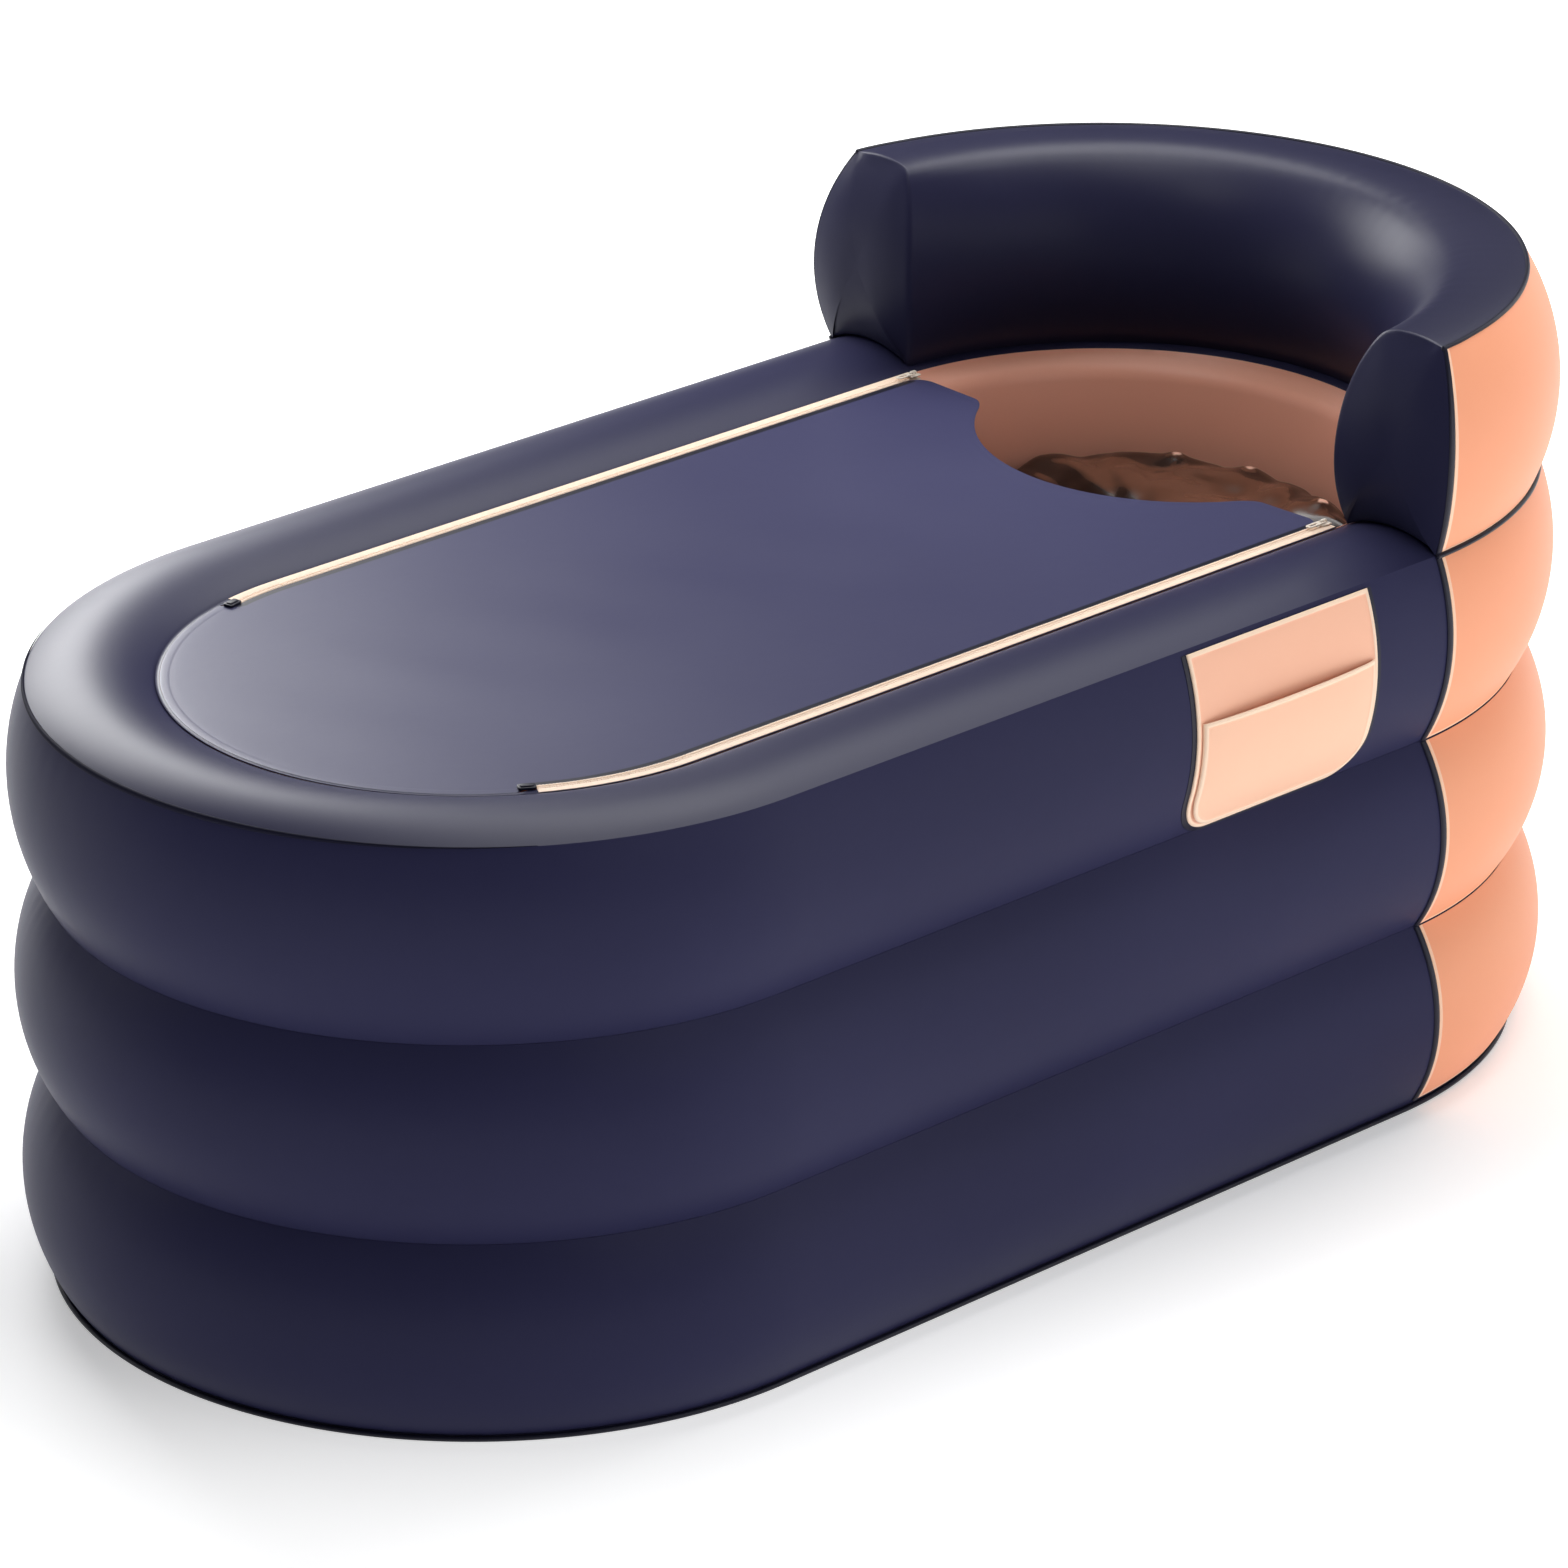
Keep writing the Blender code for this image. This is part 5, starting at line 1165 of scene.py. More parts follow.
# %% Flat mouldings from outlines
def round_corners(corners, radii):
    """A closed outline through corners, each rounded by its own radius."""
    after = corners[1:] + corners[:1]
    curves = [
        corner_curve(corners[k - 1], corner, after[k], radii[k]) for k, corner in enumerate(corners)
    ]
    return np.vstack(curves)


def as_shown(shown):
    """A copy of the mesh that an object shows, with its modifiers applied."""
    graph = bpy.context.evaluated_depsgraph_get()
    return bpy.data.meshes.new_from_object(shown.evaluated_get(graph))


def flat_moulding(name, outlines, thickness, bevel, place, tilt=None):
    """A plate of a thickness with bevelled edges, from outlines in its own plane."""
    curve = bpy.data.curves.new(name, "CURVE")
    curve.dimensions = "2D"
    curve.fill_mode = "BOTH"
    curve.extrude = thickness / 2 - bevel
    curve.bevel_depth = bevel
    curve.bevel_resolution = 2
    curve.offset = -bevel
    for outline in outlines:
        spline = curve.splines.new("POLY")
        spline.points.add(len(outline) - 1)
        for point, (x, y) in zip(spline.points, outline):
            point.co = (x, y, 0, 1)
        spline.use_cyclic_u = True
    shape = placed(name, curve)
    mesh = as_shown(shape)
    bpy.data.objects.remove(shape)
    mesh.transform(Matrix.Translation(place) @ (tilt or Matrix.Identity(4)))
    mesh.name = name
    return mesh


MOULDING_SHARP_FROM = 40.0


def one_piece(name, meshes):
    """Several meshes as the one object that they are moulded as."""
    bm = bmesh.new()
    for mesh in meshes:
        bm.from_mesh(mesh)
        bpy.data.meshes.remove(mesh)
    bmesh.ops.remove_doubles(bm, verts=bm.verts, dist=1e-6)
    bmesh.ops.recalc_face_normals(bm, faces=bm.faces)
    mesh = bpy.data.meshes.new(name)
    bm.to_mesh(mesh)
    bm.free()
    mesh.shade_smooth()
    mesh.set_sharp_from_angle(angle=math.radians(MOULDING_SHARP_FROM))
    return placed(name, mesh)


# %% [markdown]
# A zip slider is two heart-shaped plates with the coils running between them, joined
# by a post at the front and carrying a bridge for the pull.

# %% Sliders and pulls
SLIDER_X = 0.391
ZIP_Y = END_RADIUS - ZIP_INSET
SLIDER_LENGTH, SLIDER_WIDTH = 0.013, 0.0105
PLATE_OFF = 0.0016
PLATE = 0.0010
BRIDGE_RISE = 0.0034
PULL_AXIS_LEVEL = 0.5518
UPRIGHT = Matrix.Rotation(math.pi / 2, 4, "X")


def box_outline(low_x, low_y, high_x, high_y, radius):
    """A rectangle in a moulding's plane with all four corners rounded alike."""
    corners = [(low_x, low_y), (high_x, low_y), (high_x, high_y), (low_x, high_y)]
    return round_corners(corners, [radius] * 4)


def slider(name, side):
    """A zip slider: two plates, the post between them and the bridge on top."""
    half, wide = SLIDER_LENGTH / 2, SLIDER_WIDTH / 2
    heart = round_corners(
        [(-half, -wide * 0.78), (half * 0.3, -wide), (half, -wide * 0.86), (half * 0.8, 0),
         (half, wide * 0.86), (half * 0.3, wide), (-half, wide * 0.78)],
        [0.0018, 0.002, 0.0014, 0.0008, 0.0014, 0.002, 0.0018]
    )
    middle = Vector((SLIDER_X, side * ZIP_Y, COVER_LEVEL))
    meshes = []
    for way in (-1, 1):
        level = middle + Vector((0, 0, way * (PLATE_OFF + PLATE / 2)))
        meshes.append(flat_moulding(name + "_plate", [heart], PLATE, 0.0003, level))
    post = box_outline(0.0026, -0.0018, 0.0058, 0.0018, 0.0002)
    meshes.append(flat_moulding(name + "_post", [post], 0.0008, 0.0001, middle, UPRIGHT))
    top = PLATE_OFF + PLATE
    arch = round_corners(
        [(-0.0035, top - 0.0004), (-0.0035, top + BRIDGE_RISE), (0.0035, top + BRIDGE_RISE),
         (0.0035, top - 0.0004), (0.0026, top - 0.0004), (0.0026, top + BRIDGE_RISE - 0.0009),
         (-0.0026, top + BRIDGE_RISE - 0.0009), (-0.0026, top - 0.0004)],
        [0.0001, 0.0014, 0.0014, 0.0001, 0.0001, 0.0006, 0.0006, 0.0001]
    )
    meshes.append(flat_moulding(name + "_bridge", [arch], 0.0030, 0.0004, middle, UPRIGHT))
    piece = one_piece(name + "_moulding", meshes)
    return dressed(piece, ivory_plastic, "ivory_plastic", name, name)


def pull(name, side):
    """A pull tab: a window for the bridge, a grip with a second, round-ended window."""
    tab = round_corners(
        [(0.0006, -0.0030), (0.0006, 0.0030), (-0.0100, 0.00375), (-0.0214, 0.0032),
         (-0.0214, -0.0032), (-0.0100, -0.00375)], [0.0012, 0.0012, 0.003, 0.003, 0.003, 0.003]
    )
    window = round_corners(
        [(-0.0006, -0.0019), (-0.0048, -0.0019), (-0.0048, 0.0019), (-0.0006, 0.0019)], [0.0005] * 4
    )
    grip = round_corners(
        [(-0.0085, -0.0014), (-0.0185, -0.0014), (-0.0185, 0.0014), (-0.0085, 0.0014)], [0.0013] * 4
    )
    place = Vector((SLIDER_X, side * ZIP_Y, PULL_AXIS_LEVEL))
    mesh = flat_moulding(name, [tab, window, grip], 0.0012, 0.0003, place)
    piece = one_piece(name + "_tab", [mesh])
    return dressed(piece, ivory_plastic, "ivory_plastic", name, name)


for end, side in (("near", -1), ("far", 1)):
    slider(end + "_slider", side)
    pull(end + "_pull", side)
fittings = [o.name for o in bpy.data.objects if o.name.endswith(("_tab", "_moulding"))]
print("zip fittings:", fittings)

# %% [markdown]
# A short dark block is moulded over the foot end of each zip, so the slider can't run
# off. It has a low ridge in the middle and soft corners.

# %% End stops
def zip_stop(name, side, end_turn):
    """A block over the foot end of a zip, turned with the zip's way there."""
    edge = 90.0 if side > 0 else 270.0
    turn = math.radians(edge + side * (end_turn + STOP_TURN / 2))
    reach = END_RADIUS - ZIP_INSET
    place = Vector((-HALF_STRAIGHT + reach * math.cos(turn), reach * math.sin(turn), COVER_LEVEL))
    way = Matrix.Rotation(turn + math.pi / 2, 4, "Z")
    base = box_outline(-0.008, -0.005, 0.008, 0.005, 0.003)
    ridge = box_outline(-0.006, -0.003, 0.006, 0.003, 0.0024)
    meshes = [
        flat_moulding(name, [base], 0.0022, 0.0007, place + Vector((0, 0, 0.0018)), way),
        flat_moulding(name + "_ridge", [ridge], 0.0014, 0.0006, place + Vector((0, 0, 0.0033)), way),
    ]
    piece = one_piece(name + "_moulding", meshes)
    return dressed(piece, dark_trim, "dark_trim", "tub", name)


zip_stop("near_zip_stop", -1, NEAR_ZIP_TURN)
zip_stop("far_zip_stop", 1, FAR_ZIP_TURN)

# %% [markdown]
# ## The pocket
# The pocket holds a phone or a book. Its back is a peach panel welded to the ring over
# a dark border, and a pouch of the same sheet covers the lower part. Both are bound in
# a pale strip. They follow the ring's shoulder, so every point is found on the ring's
# own arc and stood off from it. Columns crowd at the rounded corners.

# %% Pocket sheets
POCKET_FROM, POCKET_TO = 0.080, 0.310
POCKET_BOTTOM, POCKET_TOP = 0.372, 0.546
POCKET_MOUTH = 0.485
POCKET_CORNER = 0.040
POUCH_INSET = 0.006
POUCH_DEPTH = 0.0085
POCKET_SHEET = 0.0008
POCKET_OFF = 0.0009
BINDING = 0.0042
BINDING_RISE = 0.0011
shoulder_arc = swell((CREASE_INSET, MIDDLE_TOP), SHOULDER, SHOULDER_SWELL, 0.002)
shoulder_away = lefts(shoulder_arc)


def on_shoulder(x, height, off):
    """A point stood off from the top ring's outer wall on the pocket's side."""
    inset = np.interp(height, shoulder_arc[:, 1], shoulder_arc[:, 0])
    away_in = np.interp(height, shoulder_arc[:, 1], shoulder_away[:, 0])
    away_up = np.interp(height, shoulder_arc[:, 1], shoulder_away[:, 1])
    return np.stack([x, -(END_RADIUS - inset - away_in * off), height + away_up * off], axis=-1)


def edge_gap(x, height, left, right, low, high, corner):
    """Distance from the nearest edge of a panel whose two lower corners are rounded."""
    sides = np.minimum(np.minimum(x - left, right - x), np.minimum(height - low, high - height))
    over_x = np.maximum(np.maximum(left + corner - x, x - (right - corner)), 0)
    over_z = np.maximum(low + corner - height, 0)
    in_corner = (over_x > 0) & (over_z > 0)
    return np.where(in_corner, corner - np.hypot(over_x, over_z), sides)


def pocket_grid(left, right, low, high, corner, columns=73, rows=61):
    """Plan of a panel: x and height of a grid that fills its rounded outline."""
    x = graded(left, right, columns)
    side = np.minimum(x - left, right - x)
    lift = np.where(
        side < corner, corner - np.sqrt(np.clip(corner ** 2 - (corner - side) ** 2, 0, None)), 0.0
    )
    share = graded(0, 1, rows)
    height = (low + lift)[:, None] + (high - low - lift)[:, None] * share[None, :]
    return np.broadcast_to(x[:, None], height.shape), height


def pocket_piece(name, plan, off, thickness, gap, finish, slot, *nodes):
    """A sheet on the ring's shoulder; UV holds the gap to its edge and the height."""
    x, height = plan
    inner = on_shoulder(x, height, off)
    outer = on_shoulder(x, height, off + thickness)
    piece = thin_solid(name, outer, inner)
    marked(piece, gap, height)
    return dressed(piece, finish, slot, "tub", *nodes)


PEACH_LIGHT = (0.960, 0.560, 0.390)
PEACH_LIGHT_PALE = (0.965, 0.610, 0.440)
CREAM_BINDING = (0.960, 0.720, 0.550)
POCKET_PEACH = (0.960, 0.520, 0.360)
POCKET_PEACH_PALE = (0.965, 0.550, 0.390)
pocket_peach = pale_edged_vinyl(
    "pocket_peach", POCKET_PEACH, POCKET_PEACH_PALE, CREAM_BINDING, 0.44, BINDING
)
pouch_peach = pale_edged_vinyl(
    "pouch_peach", PEACH_LIGHT, PEACH_LIGHT_PALE, CREAM_BINDING, 0.42, BINDING
)

BORDER, BORDER_THICKNESS = 0.0055, 0.0006
border_box = (POCKET_FROM - BORDER, POCKET_TO + BORDER, POCKET_BOTTOM + 0.0005 - BORDER, POCKET_TOP)
border_plan = pocket_grid(*border_box, POCKET_CORNER + BORDER)
border_gap = edge_gap(*border_plan, *border_box, POCKET_CORNER + BORDER)
pocket_piece(
    "pocket_border", border_plan, 0.0001, BORDER_THICKNESS, border_gap, dark_trim, "dark_trim"
)
back_box = (POCKET_FROM, POCKET_TO, POCKET_BOTTOM, POCKET_TOP)
back_plan = pocket_grid(*back_box, POCKET_CORNER)
back_gap = edge_gap(*back_plan, *back_box, POCKET_CORNER)
pocket_back = pocket_piece(
    "pocket_back_panel", back_plan, POCKET_OFF, POCKET_SHEET + bead(back_gap, BINDING, BINDING_RISE),
    back_gap, pocket_peach, "peach_vinyl", "pocket_back"
)

# %% [markdown]
# The pouch bellies out towards its mouth, most in the middle, and its free edge is
# bound like the rest.

# %% Pouch
pouch_box = (
    POCKET_FROM + POUCH_INSET, POCKET_TO - POUCH_INSET, POCKET_BOTTOM + POUCH_INSET, POCKET_MOUTH
)
pouch_corner = POCKET_CORNER - POUCH_INSET
pouch_plan = pocket_grid(*pouch_box, pouch_corner)
pouch_gap = edge_gap(*pouch_plan, *pouch_box, pouch_corner)
pouch_across = (pouch_plan[0] - pouch_box[0]) / (pouch_box[1] - pouch_box[0])
pouch_up = (pouch_plan[1] - pouch_box[2]) / (pouch_box[3] - pouch_box[2])
belly_out = np.sqrt(np.clip(np.sin(math.pi * np.clip(pouch_across, 0, 1)) * pouch_up, 0, 1))
pouch_off = 2 * POCKET_OFF + POCKET_SHEET + POUCH_DEPTH * belly_out
pouch_binding = bead(pouch_gap, BINDING, BINDING_RISE)
pouch = pocket_piece(
    "pocket_pouch_sheet", pouch_plan, pouch_off, POCKET_SHEET + pouch_binding, pouch_gap, pouch_peach,
    "light_peach_vinyl", "pocket_pouch"
)
print("pocket:", len(pocket_back.data.vertices) + len(pouch.data.vertices), "points")

# %% [markdown]
# ## Inside the bath
# The watertight liner hangs from the rim. It is a thin peach-brown sheet that lies
# against the rings and gathers a little at their creases, where soft folds show in the
# photograph above the head cushion. A weld runs round it just under its top edge.

# %% Liner
PEACH_LINER = (0.930, 0.440, 0.310)
PEACH_LINER_PALE = (0.940, 0.470, 0.340)
liner_vinyl = vinyl("liner_vinyl", PEACH_LINER, PEACH_LINER_PALE, 0.38, wander=0.12, shine=0.3)
LINER_OFF = 0.0006
LINER_THICKNESS = 0.0006
LINER_TOP_WELD = 0.533


LINER_LIP = (
    (0.1505, INNER_TOP), (0.1440, 0.5341), (0.1376, 0.5391), (0.1345, 0.5428), (0.1320, 0.5464)
)
LINER_LEVELS = (FLOOR_TOP, TIER_HEIGHT, MIDDLE_TOP, INNER_TOP)


def liner_bulge(low, high):
    """The liner's line down one ring: it swells with the ring's inner wall."""
    return swell((INNER_INSET, low), (INNER_INSET, high), -INNER_SWELL, 0.008)


liner_line = chained(*map(liner_bulge, LINER_LEVELS, LINER_LEVELS[1:]), np.array(LINER_LIP))
liner_run = WHOLE[:-1]
height = liner_line[:, 1]
crease_gap = np.minimum(np.abs(height - TIER_HEIGHT), np.abs(height - MIDDLE_TOP))
folds = np.exp(-crease_gap / 0.022) * (height < 0.52)
fold_wave = 0.5 + 0.5 * waves(liner_run[:, 3], WHOLE[-1, 3], (61, 83, 97, 120), 51) / 1.6
weld_line = np.exp(-((height - LINER_TOP_WELD) / 0.0022) ** 2) * 0.0009
liner_push = -(LINER_OFF + 0.0022 * folds[None, :] * fold_wave[:, None] + weld_line[None, :])
inner_face = carried(liner_run, liner_line, liner_push - LINER_THICKNESS)
outer_face = carried(liner_run, liner_line, liner_push)
liner_wall = thin_solid("liner_sheet", outer_face, inner_face, WHOLE[:, 3], lengths(liner_line), True)
dressed(liner_wall, liner_vinyl, "liner_vinyl", "tub", "liner_wall")

# %% Liner floor
LINER_FLOOR_INSET, LINER_FLOOR_TOP = 0.1597, 0.0019
floor_line = level_line((LINER_FLOOR_INSET, 0.200, 0.300), LINER_FLOOR_TOP)
floor_under = floor_line - [0, LINER_THICKNESS]
liner_floor = thin_solid(
    "liner_floor_sheet", carried(liner_run, floor_line), carried(liner_run, floor_under),
    WHOLE[:, 3], lengths(floor_line), over_rows=True
)
dressed(liner_floor, liner_vinyl, "liner_vinyl", "tub", "liner_floor")

# %% [markdown]
# ## Cushions
# Two loose air cushions lie inside: a flat one under the bather and a ramp at the head
# end. Vinyl cushions are two sheets welded round their edge and at spots between, so
# they bulge between the welds. Blender's cloth does that by itself: the solid's form is
# remeshed, the weld spots are pinned, and a little pressure swells the rest. The finish
# is painted shade: a dark brown for the shade that lies on the cushions inside the tub,
# and much darker on the faces that don't look up, for the shade in the folds. A number on
# each point adds a painted highlight on the raised tucks and a band of painted shade
# along the edge, where the cushion meets the wall.

# %% Cushion finish
# Painted shade: these browns are darkened for the shade inside the tub, and the darkest one paints the
# shade in the folds and in the gap along the edge.
SHADED_CUSHION_BROWN = (0.110, 0.044, 0.025)
SHADED_CUSHION_BROWN_PALE = (0.250, 0.104, 0.062)
PAINTED_FOLD_SHADE = (0.026, 0.011, 0.007)
PAINTED_TUCK_HIGHLIGHT = (0.900, 0.560, 0.430)
cushion_vinyl = vinyl("cushion_vinyl", SHADED_CUSHION_BROWN, SHADED_CUSHION_BROWN_PALE, 0.24, wander=0.12)
# Faces that don't look up take the darkest brown: painted shade in the folds.
level_top = cushion_vinyl.facing().rise(0.90, 0.985)
colour_with_painted_shade = level_top.blend_colours(PAINTED_FOLD_SHADE, cushion_vinyl.colour())
# Over 0 this number paints a highlight on the tucks; below 0 it paints shade along the edge.
tuck = cushion_vinyl.bench.node("Attribute", {"attribute_name": "tuck"}, output=2)
colour_with_painted_shade = (0 - tuck).rise(0.1, 0.7).blend_colours(colour_with_painted_shade, PAINTED_FOLD_SHADE)
cushion_vinyl.feed("Base Color", tuck.rise(0.25, 0.7).blend_colours(colour_with_painted_shade, PAINTED_TUCK_HIGHLIGHT))
print("cushion finish:", len(cushion_vinyl.material.node_tree.nodes), "nodes")

# %% Cushion forms
CUSHION_CLEAR = 0.006
THROUGH_WALL = INNER_INSET + INNER_SWELL + LINER_OFF + LINER_THICKNESS
CUSHION_REACH = END_RADIUS - THROUGH_WALL - CUSHION_CLEAR
FLOOR_CUSHION_RISE = 0.052
FLOOR_CUSHION_HEAD = 0.275
RAMP_FRONT, RAMP_END = 0.290, 0.500
RAMP_FRONT_TOP, RAMP_TOP = 0.120, 0.432
RAMP_SWELL = 0.030
CUSHION_BOTTOM = 0.0022
FRONT_CORNER = 0.045
OUTLINE_POINTS = 160


def dee(centre_x, straight_x):
    """Plan outline of a cushion: a half round, straight sides and a straight front."""
    sign = 1 if straight_x > centre_x else -1

    def arc(x, y, radius, turn):
        return np.column_stack([x + sign * radius * np.cos(turn), y + radius * np.sin(turn)])

    round_part = arc(centre_x, 0.0, CUSHION_REACH, np.linspace(math.pi / 2, 3 * math.pi / 2, 61))
    corner_x, corner_y = straight_x - sign * FRONT_CORNER, FRONT_CORNER - CUSHION_REACH
    low = arc(corner_x, corner_y, FRONT_CORNER, np.linspace(-math.pi / 2, 0, 9))
    high = low[::-1] * [1, -1]
    loop = np.vstack([round_part, low, high, round_part[:1]])
    walked = lengths(loop)
    even = np.linspace(0, walked[-1], OUTLINE_POINTS, endpoint=False)
    return np.column_stack([np.interp(even, walked, loop[:, k]) for k in range(2)])


def cushion_mesh(name, outline, spine, rise, edge=0.030, shrink=0.0):
    """A closed cushion form: side wall, round edges and a top that follows rise(x)."""
    start, end = (np.array(p, float) for p in spine)
    along = end - start
    share = np.clip(((outline - start) @ along) / (along @ along), 0, 1)[:, None]
    target = start + along * share
    full = np.hypot(*(target - outline).T)[:, None]
    levels = [(0.015, 0.0), (0.006, 0.004), (0.0, 0.015)]
    loops = []

    def drawn_in(distance):
        return outline + (target - outline) * np.minimum(distance / full, 1.0)

    for distance, height in levels:
        plan = drawn_in(distance + shrink)
        loops.append(np.column_stack([plan, np.full(len(plan), CUSHION_BOTTOM + height)]))
    for angle in np.linspace(0, math.pi / 2, 6):
        plan = drawn_in(edge * (1 - math.cos(angle)) + shrink)
        top = CUSHION_BOTTOM + rise(plan[:, 0]) - edge * (1 - math.sin(angle)) - shrink
        loops.append(np.column_stack([plan, top]))
    for step in np.linspace(0.2, 0.96, 6):
        plan = outline + (target - outline) * (edge / full + (1 - edge / full) * step)
        loops.append(np.column_stack([plan, CUSHION_BOTTOM + rise(plan[:, 0]) - shrink]))
    grid = np.stack(loops, axis=1)
    rows, columns = grid.shape[:2]
    faces = quads(rows, columns, over_rows=True)
    faces.append([k * columns for k in range(rows)][::-1])
    faces.append([k * columns + columns - 1 for k in range(rows)])
    piece = new_piece(name, grid.reshape(-1, 3), faces)
    face_outward(piece)
    return piece


def smooth_step(share):
    share = np.clip(share, 0, 1)
    return share * share * (3 - 2 * share)


def ramp_rise(x):
    """Height of the head cushion over its bottom: low in front, high at the wall."""
    ease = smooth_step((np.asarray(x) - RAMP_FRONT) / (RAMP_END - RAMP_FRONT))
    return RAMP_FRONT_TOP + (RAMP_TOP + RAMP_SWELL - CUSHION_BOTTOM - RAMP_FRONT_TOP) * ease


# %% [markdown]
# The simulation swells the form against its pinned welds. A cap keeps any point from
# travelling more than a few millimetres, and the result stays inside the liner. After
# it, the loose top sheet gets its folds, and the sheet round the valve is laid level.

# %% Folds and seats
VALVE_FLAT, VALVE_LEVEL = 0.046, 0.020
CUSHION_VALVE_Y = CUSHION_REACH / 2
FLOOR_SEAT = (-HALF_STRAIGHT, CUSHION_VALVE_Y, CUSHION_BOTTOM + FLOOR_CUSHION_RISE + 0.0003)
RAMP_SEAT = (RAMP_END + 0.034, -CUSHION_VALVE_Y, RAMP_TOP + 0.0003)


def seated(points, x, y, level):
    """Brings the sheet round a valve level with the valve's flange."""
    near = np.hypot(points[:, 0] - x, points[:, 1] - y)
    weight = smooth_step((VALVE_FLAT - near) / (VALVE_FLAT - VALVE_LEVEL))
    weight = weight * (points[:, 2] > level - 0.03)
    points[:, 2] += (level - points[:, 2]) * weight
    return points


FOLD_DEPTH = 0.007
EDGE_SHADE_WIDTH, EDGE_SHADE_WAVE = 0.030, 0.022
TUCK_TURNS = (-75.0, -48.0, -22.0, 7.0, 28.0, 84.0)
TUCK_RADIUS, TUCK_RISE = 0.0100, 0.0070
TUCK_REACH = CUSHION_REACH - 0.027


def crinkled(points):
    """Folds the loose top sheet; also gives a number: below 0 for painted edge shade, over 0 for
    painted tuck highlights.
    """
    x, y, z = points.T
    end = np.clip(x, -HALF_STRAIGHT, HALF_STRAIGHT)
    turn = np.arctan2(y, x - end)
    from_wall = CUSHION_REACH - np.hypot(x - end, y)
    on_top = z > CUSHION_BOTTOM + 0.04
    folds = np.abs(np.sin(9.5 * turn + 1.3 * np.sin(5 * turn + 27 * from_wall) + 4 * x))
    cross = np.abs(np.sin(60 * from_wall + 2.1 * np.sin(4.3 * turn)))
    depth = FOLD_DEPTH * np.clip((0.16 - from_wall) / 0.10, 0.0, 1.0)
    weave = 0.5 + 0.5 * np.sin(11 * turn + 2 * np.sin(3 * turn))
    # A wavy band along the edge: painted shade of the gap between cushion and wall.
    painted_edge_shade = np.clip((EDGE_SHADE_WIDTH + EDGE_SHADE_WAVE * weave - from_wall) / 0.007, 0.0, 1.0)
    tucks = np.zeros(len(points))
    for angle in np.radians(TUCK_TURNS):
        away = np.hypot(x - end - TUCK_REACH * np.cos(angle), y - TUCK_REACH * np.sin(angle))
        tucks = np.maximum(tucks, np.exp(-(away / TUCK_RADIUS) ** 2))
    lowered = depth * (1 - np.minimum(folds, 0.4 + cross) ** 0.7)
    points[:, 2] += (TUCK_RISE * tucks - lowered * (1 - tucks)) * on_top
    return points, (1.3 * tucks - painted_edge_shade * (1 - tucks)) * on_top


# %% Swell with cloth
VOXEL = 0.0095
SWELL_CAP = 0.012
AIR_PRESSURE = 4.0
SWELL_FRAMES = 20


def applied(piece):
    """Makes the shape that a piece's modifiers give it its own mesh."""
    old, piece.data = piece.data, as_shown(piece)
    piece.modifiers.clear()
    bpy.data.meshes.remove(old)
    return piece.data


def places(mesh):
    """The points of a mesh as rows of x, y and z."""
    flat = np.zeros(len(mesh.vertices) * 3)
    mesh.vertices.foreach_get("co", flat)
    return flat.reshape(-1, 3)


def blown_up(piece, held):
    """Points of a piece after the cloth has swelled between the points that are held."""
    group = piece.vertex_groups.new(name="welds")
    for k in np.flatnonzero(held > 0.01):
        group.add([int(k)], float(held[k]), "REPLACE")
    cloth = piece.modifiers.new("air", "CLOTH")
    cloth.settings.use_pressure = True
    cloth.settings.uniform_pressure_force = AIR_PRESSURE
    cloth.settings.vertex_group_mass = "welds"
    cloth.settings.effector_weights.gravity = 0.0
    cloth.settings.quality = 5
    cloth.settings.mass = 0.3
    cloth.collision_settings.use_collision = False
    scene = bpy.context.scene
    for clock in (scene, cloth.point_cache):
        clock.frame_start, clock.frame_end = 1, SWELL_FRAMES
    for number in range(1, SWELL_FRAMES + 1):
        scene.frame_set(number)
    shown = piece.evaluated_get(bpy.context.evaluated_depsgraph_get())
    points = places(shown.to_mesh())
    shown.to_mesh_clear()
    piece.modifiers.clear()
    piece.vertex_groups.clear()
    scene.frame_set(1)
    return points


def swelled(piece, welds, valve_seat):
    """Remeshes a cushion, pins it at its weld spots, blows it up and keeps the result."""
    remesh = piece.modifiers.new("even mesh", "REMESH")
    remesh.mode = "VOXEL"
    remesh.voxel_size = VOXEL
    mesh = applied(piece)
    points = places(mesh)
    travel = blown_up(piece, welds(points)) - points
    size = np.maximum(np.linalg.norm(travel, axis=1), 1e-9)
    points = points + travel * np.minimum(1, SWELL_CAP / size)[:, None]
    points, highlight_and_shade_share = crinkled(points)
    # Stores the number that places the painted tuck highlights and the painted edge shade.
    layer = mesh.attributes.new("tuck", "FLOAT", "POINT")
    layer.data.foreach_set("value", highlight_and_shade_share.astype(np.float32))
    points = seated(points, *valve_seat)
    mesh.vertices.foreach_set("co", points.ravel())
    mesh.update()
    mesh.shade_smooth()
    smooth = piece.modifiers.new("round", "SUBSURF")
    smooth.levels = smooth.render_levels = 1


def spots(centres, radius):
    """Weld spots: 1 within a radius of each plan point on the top face, and below."""
    def held(points):
        weight = np.zeros(len(points))
        for x, y, low in centres:
            near = np.hypot(points[:, 0] - x, points[:, 1] - y)
            weight = np.maximum(weight, (near < radius) * (points[:, 2] > low))
        return np.maximum(weight, points[:, 2] < CUSHION_BOTTOM + 0.006)
    return held


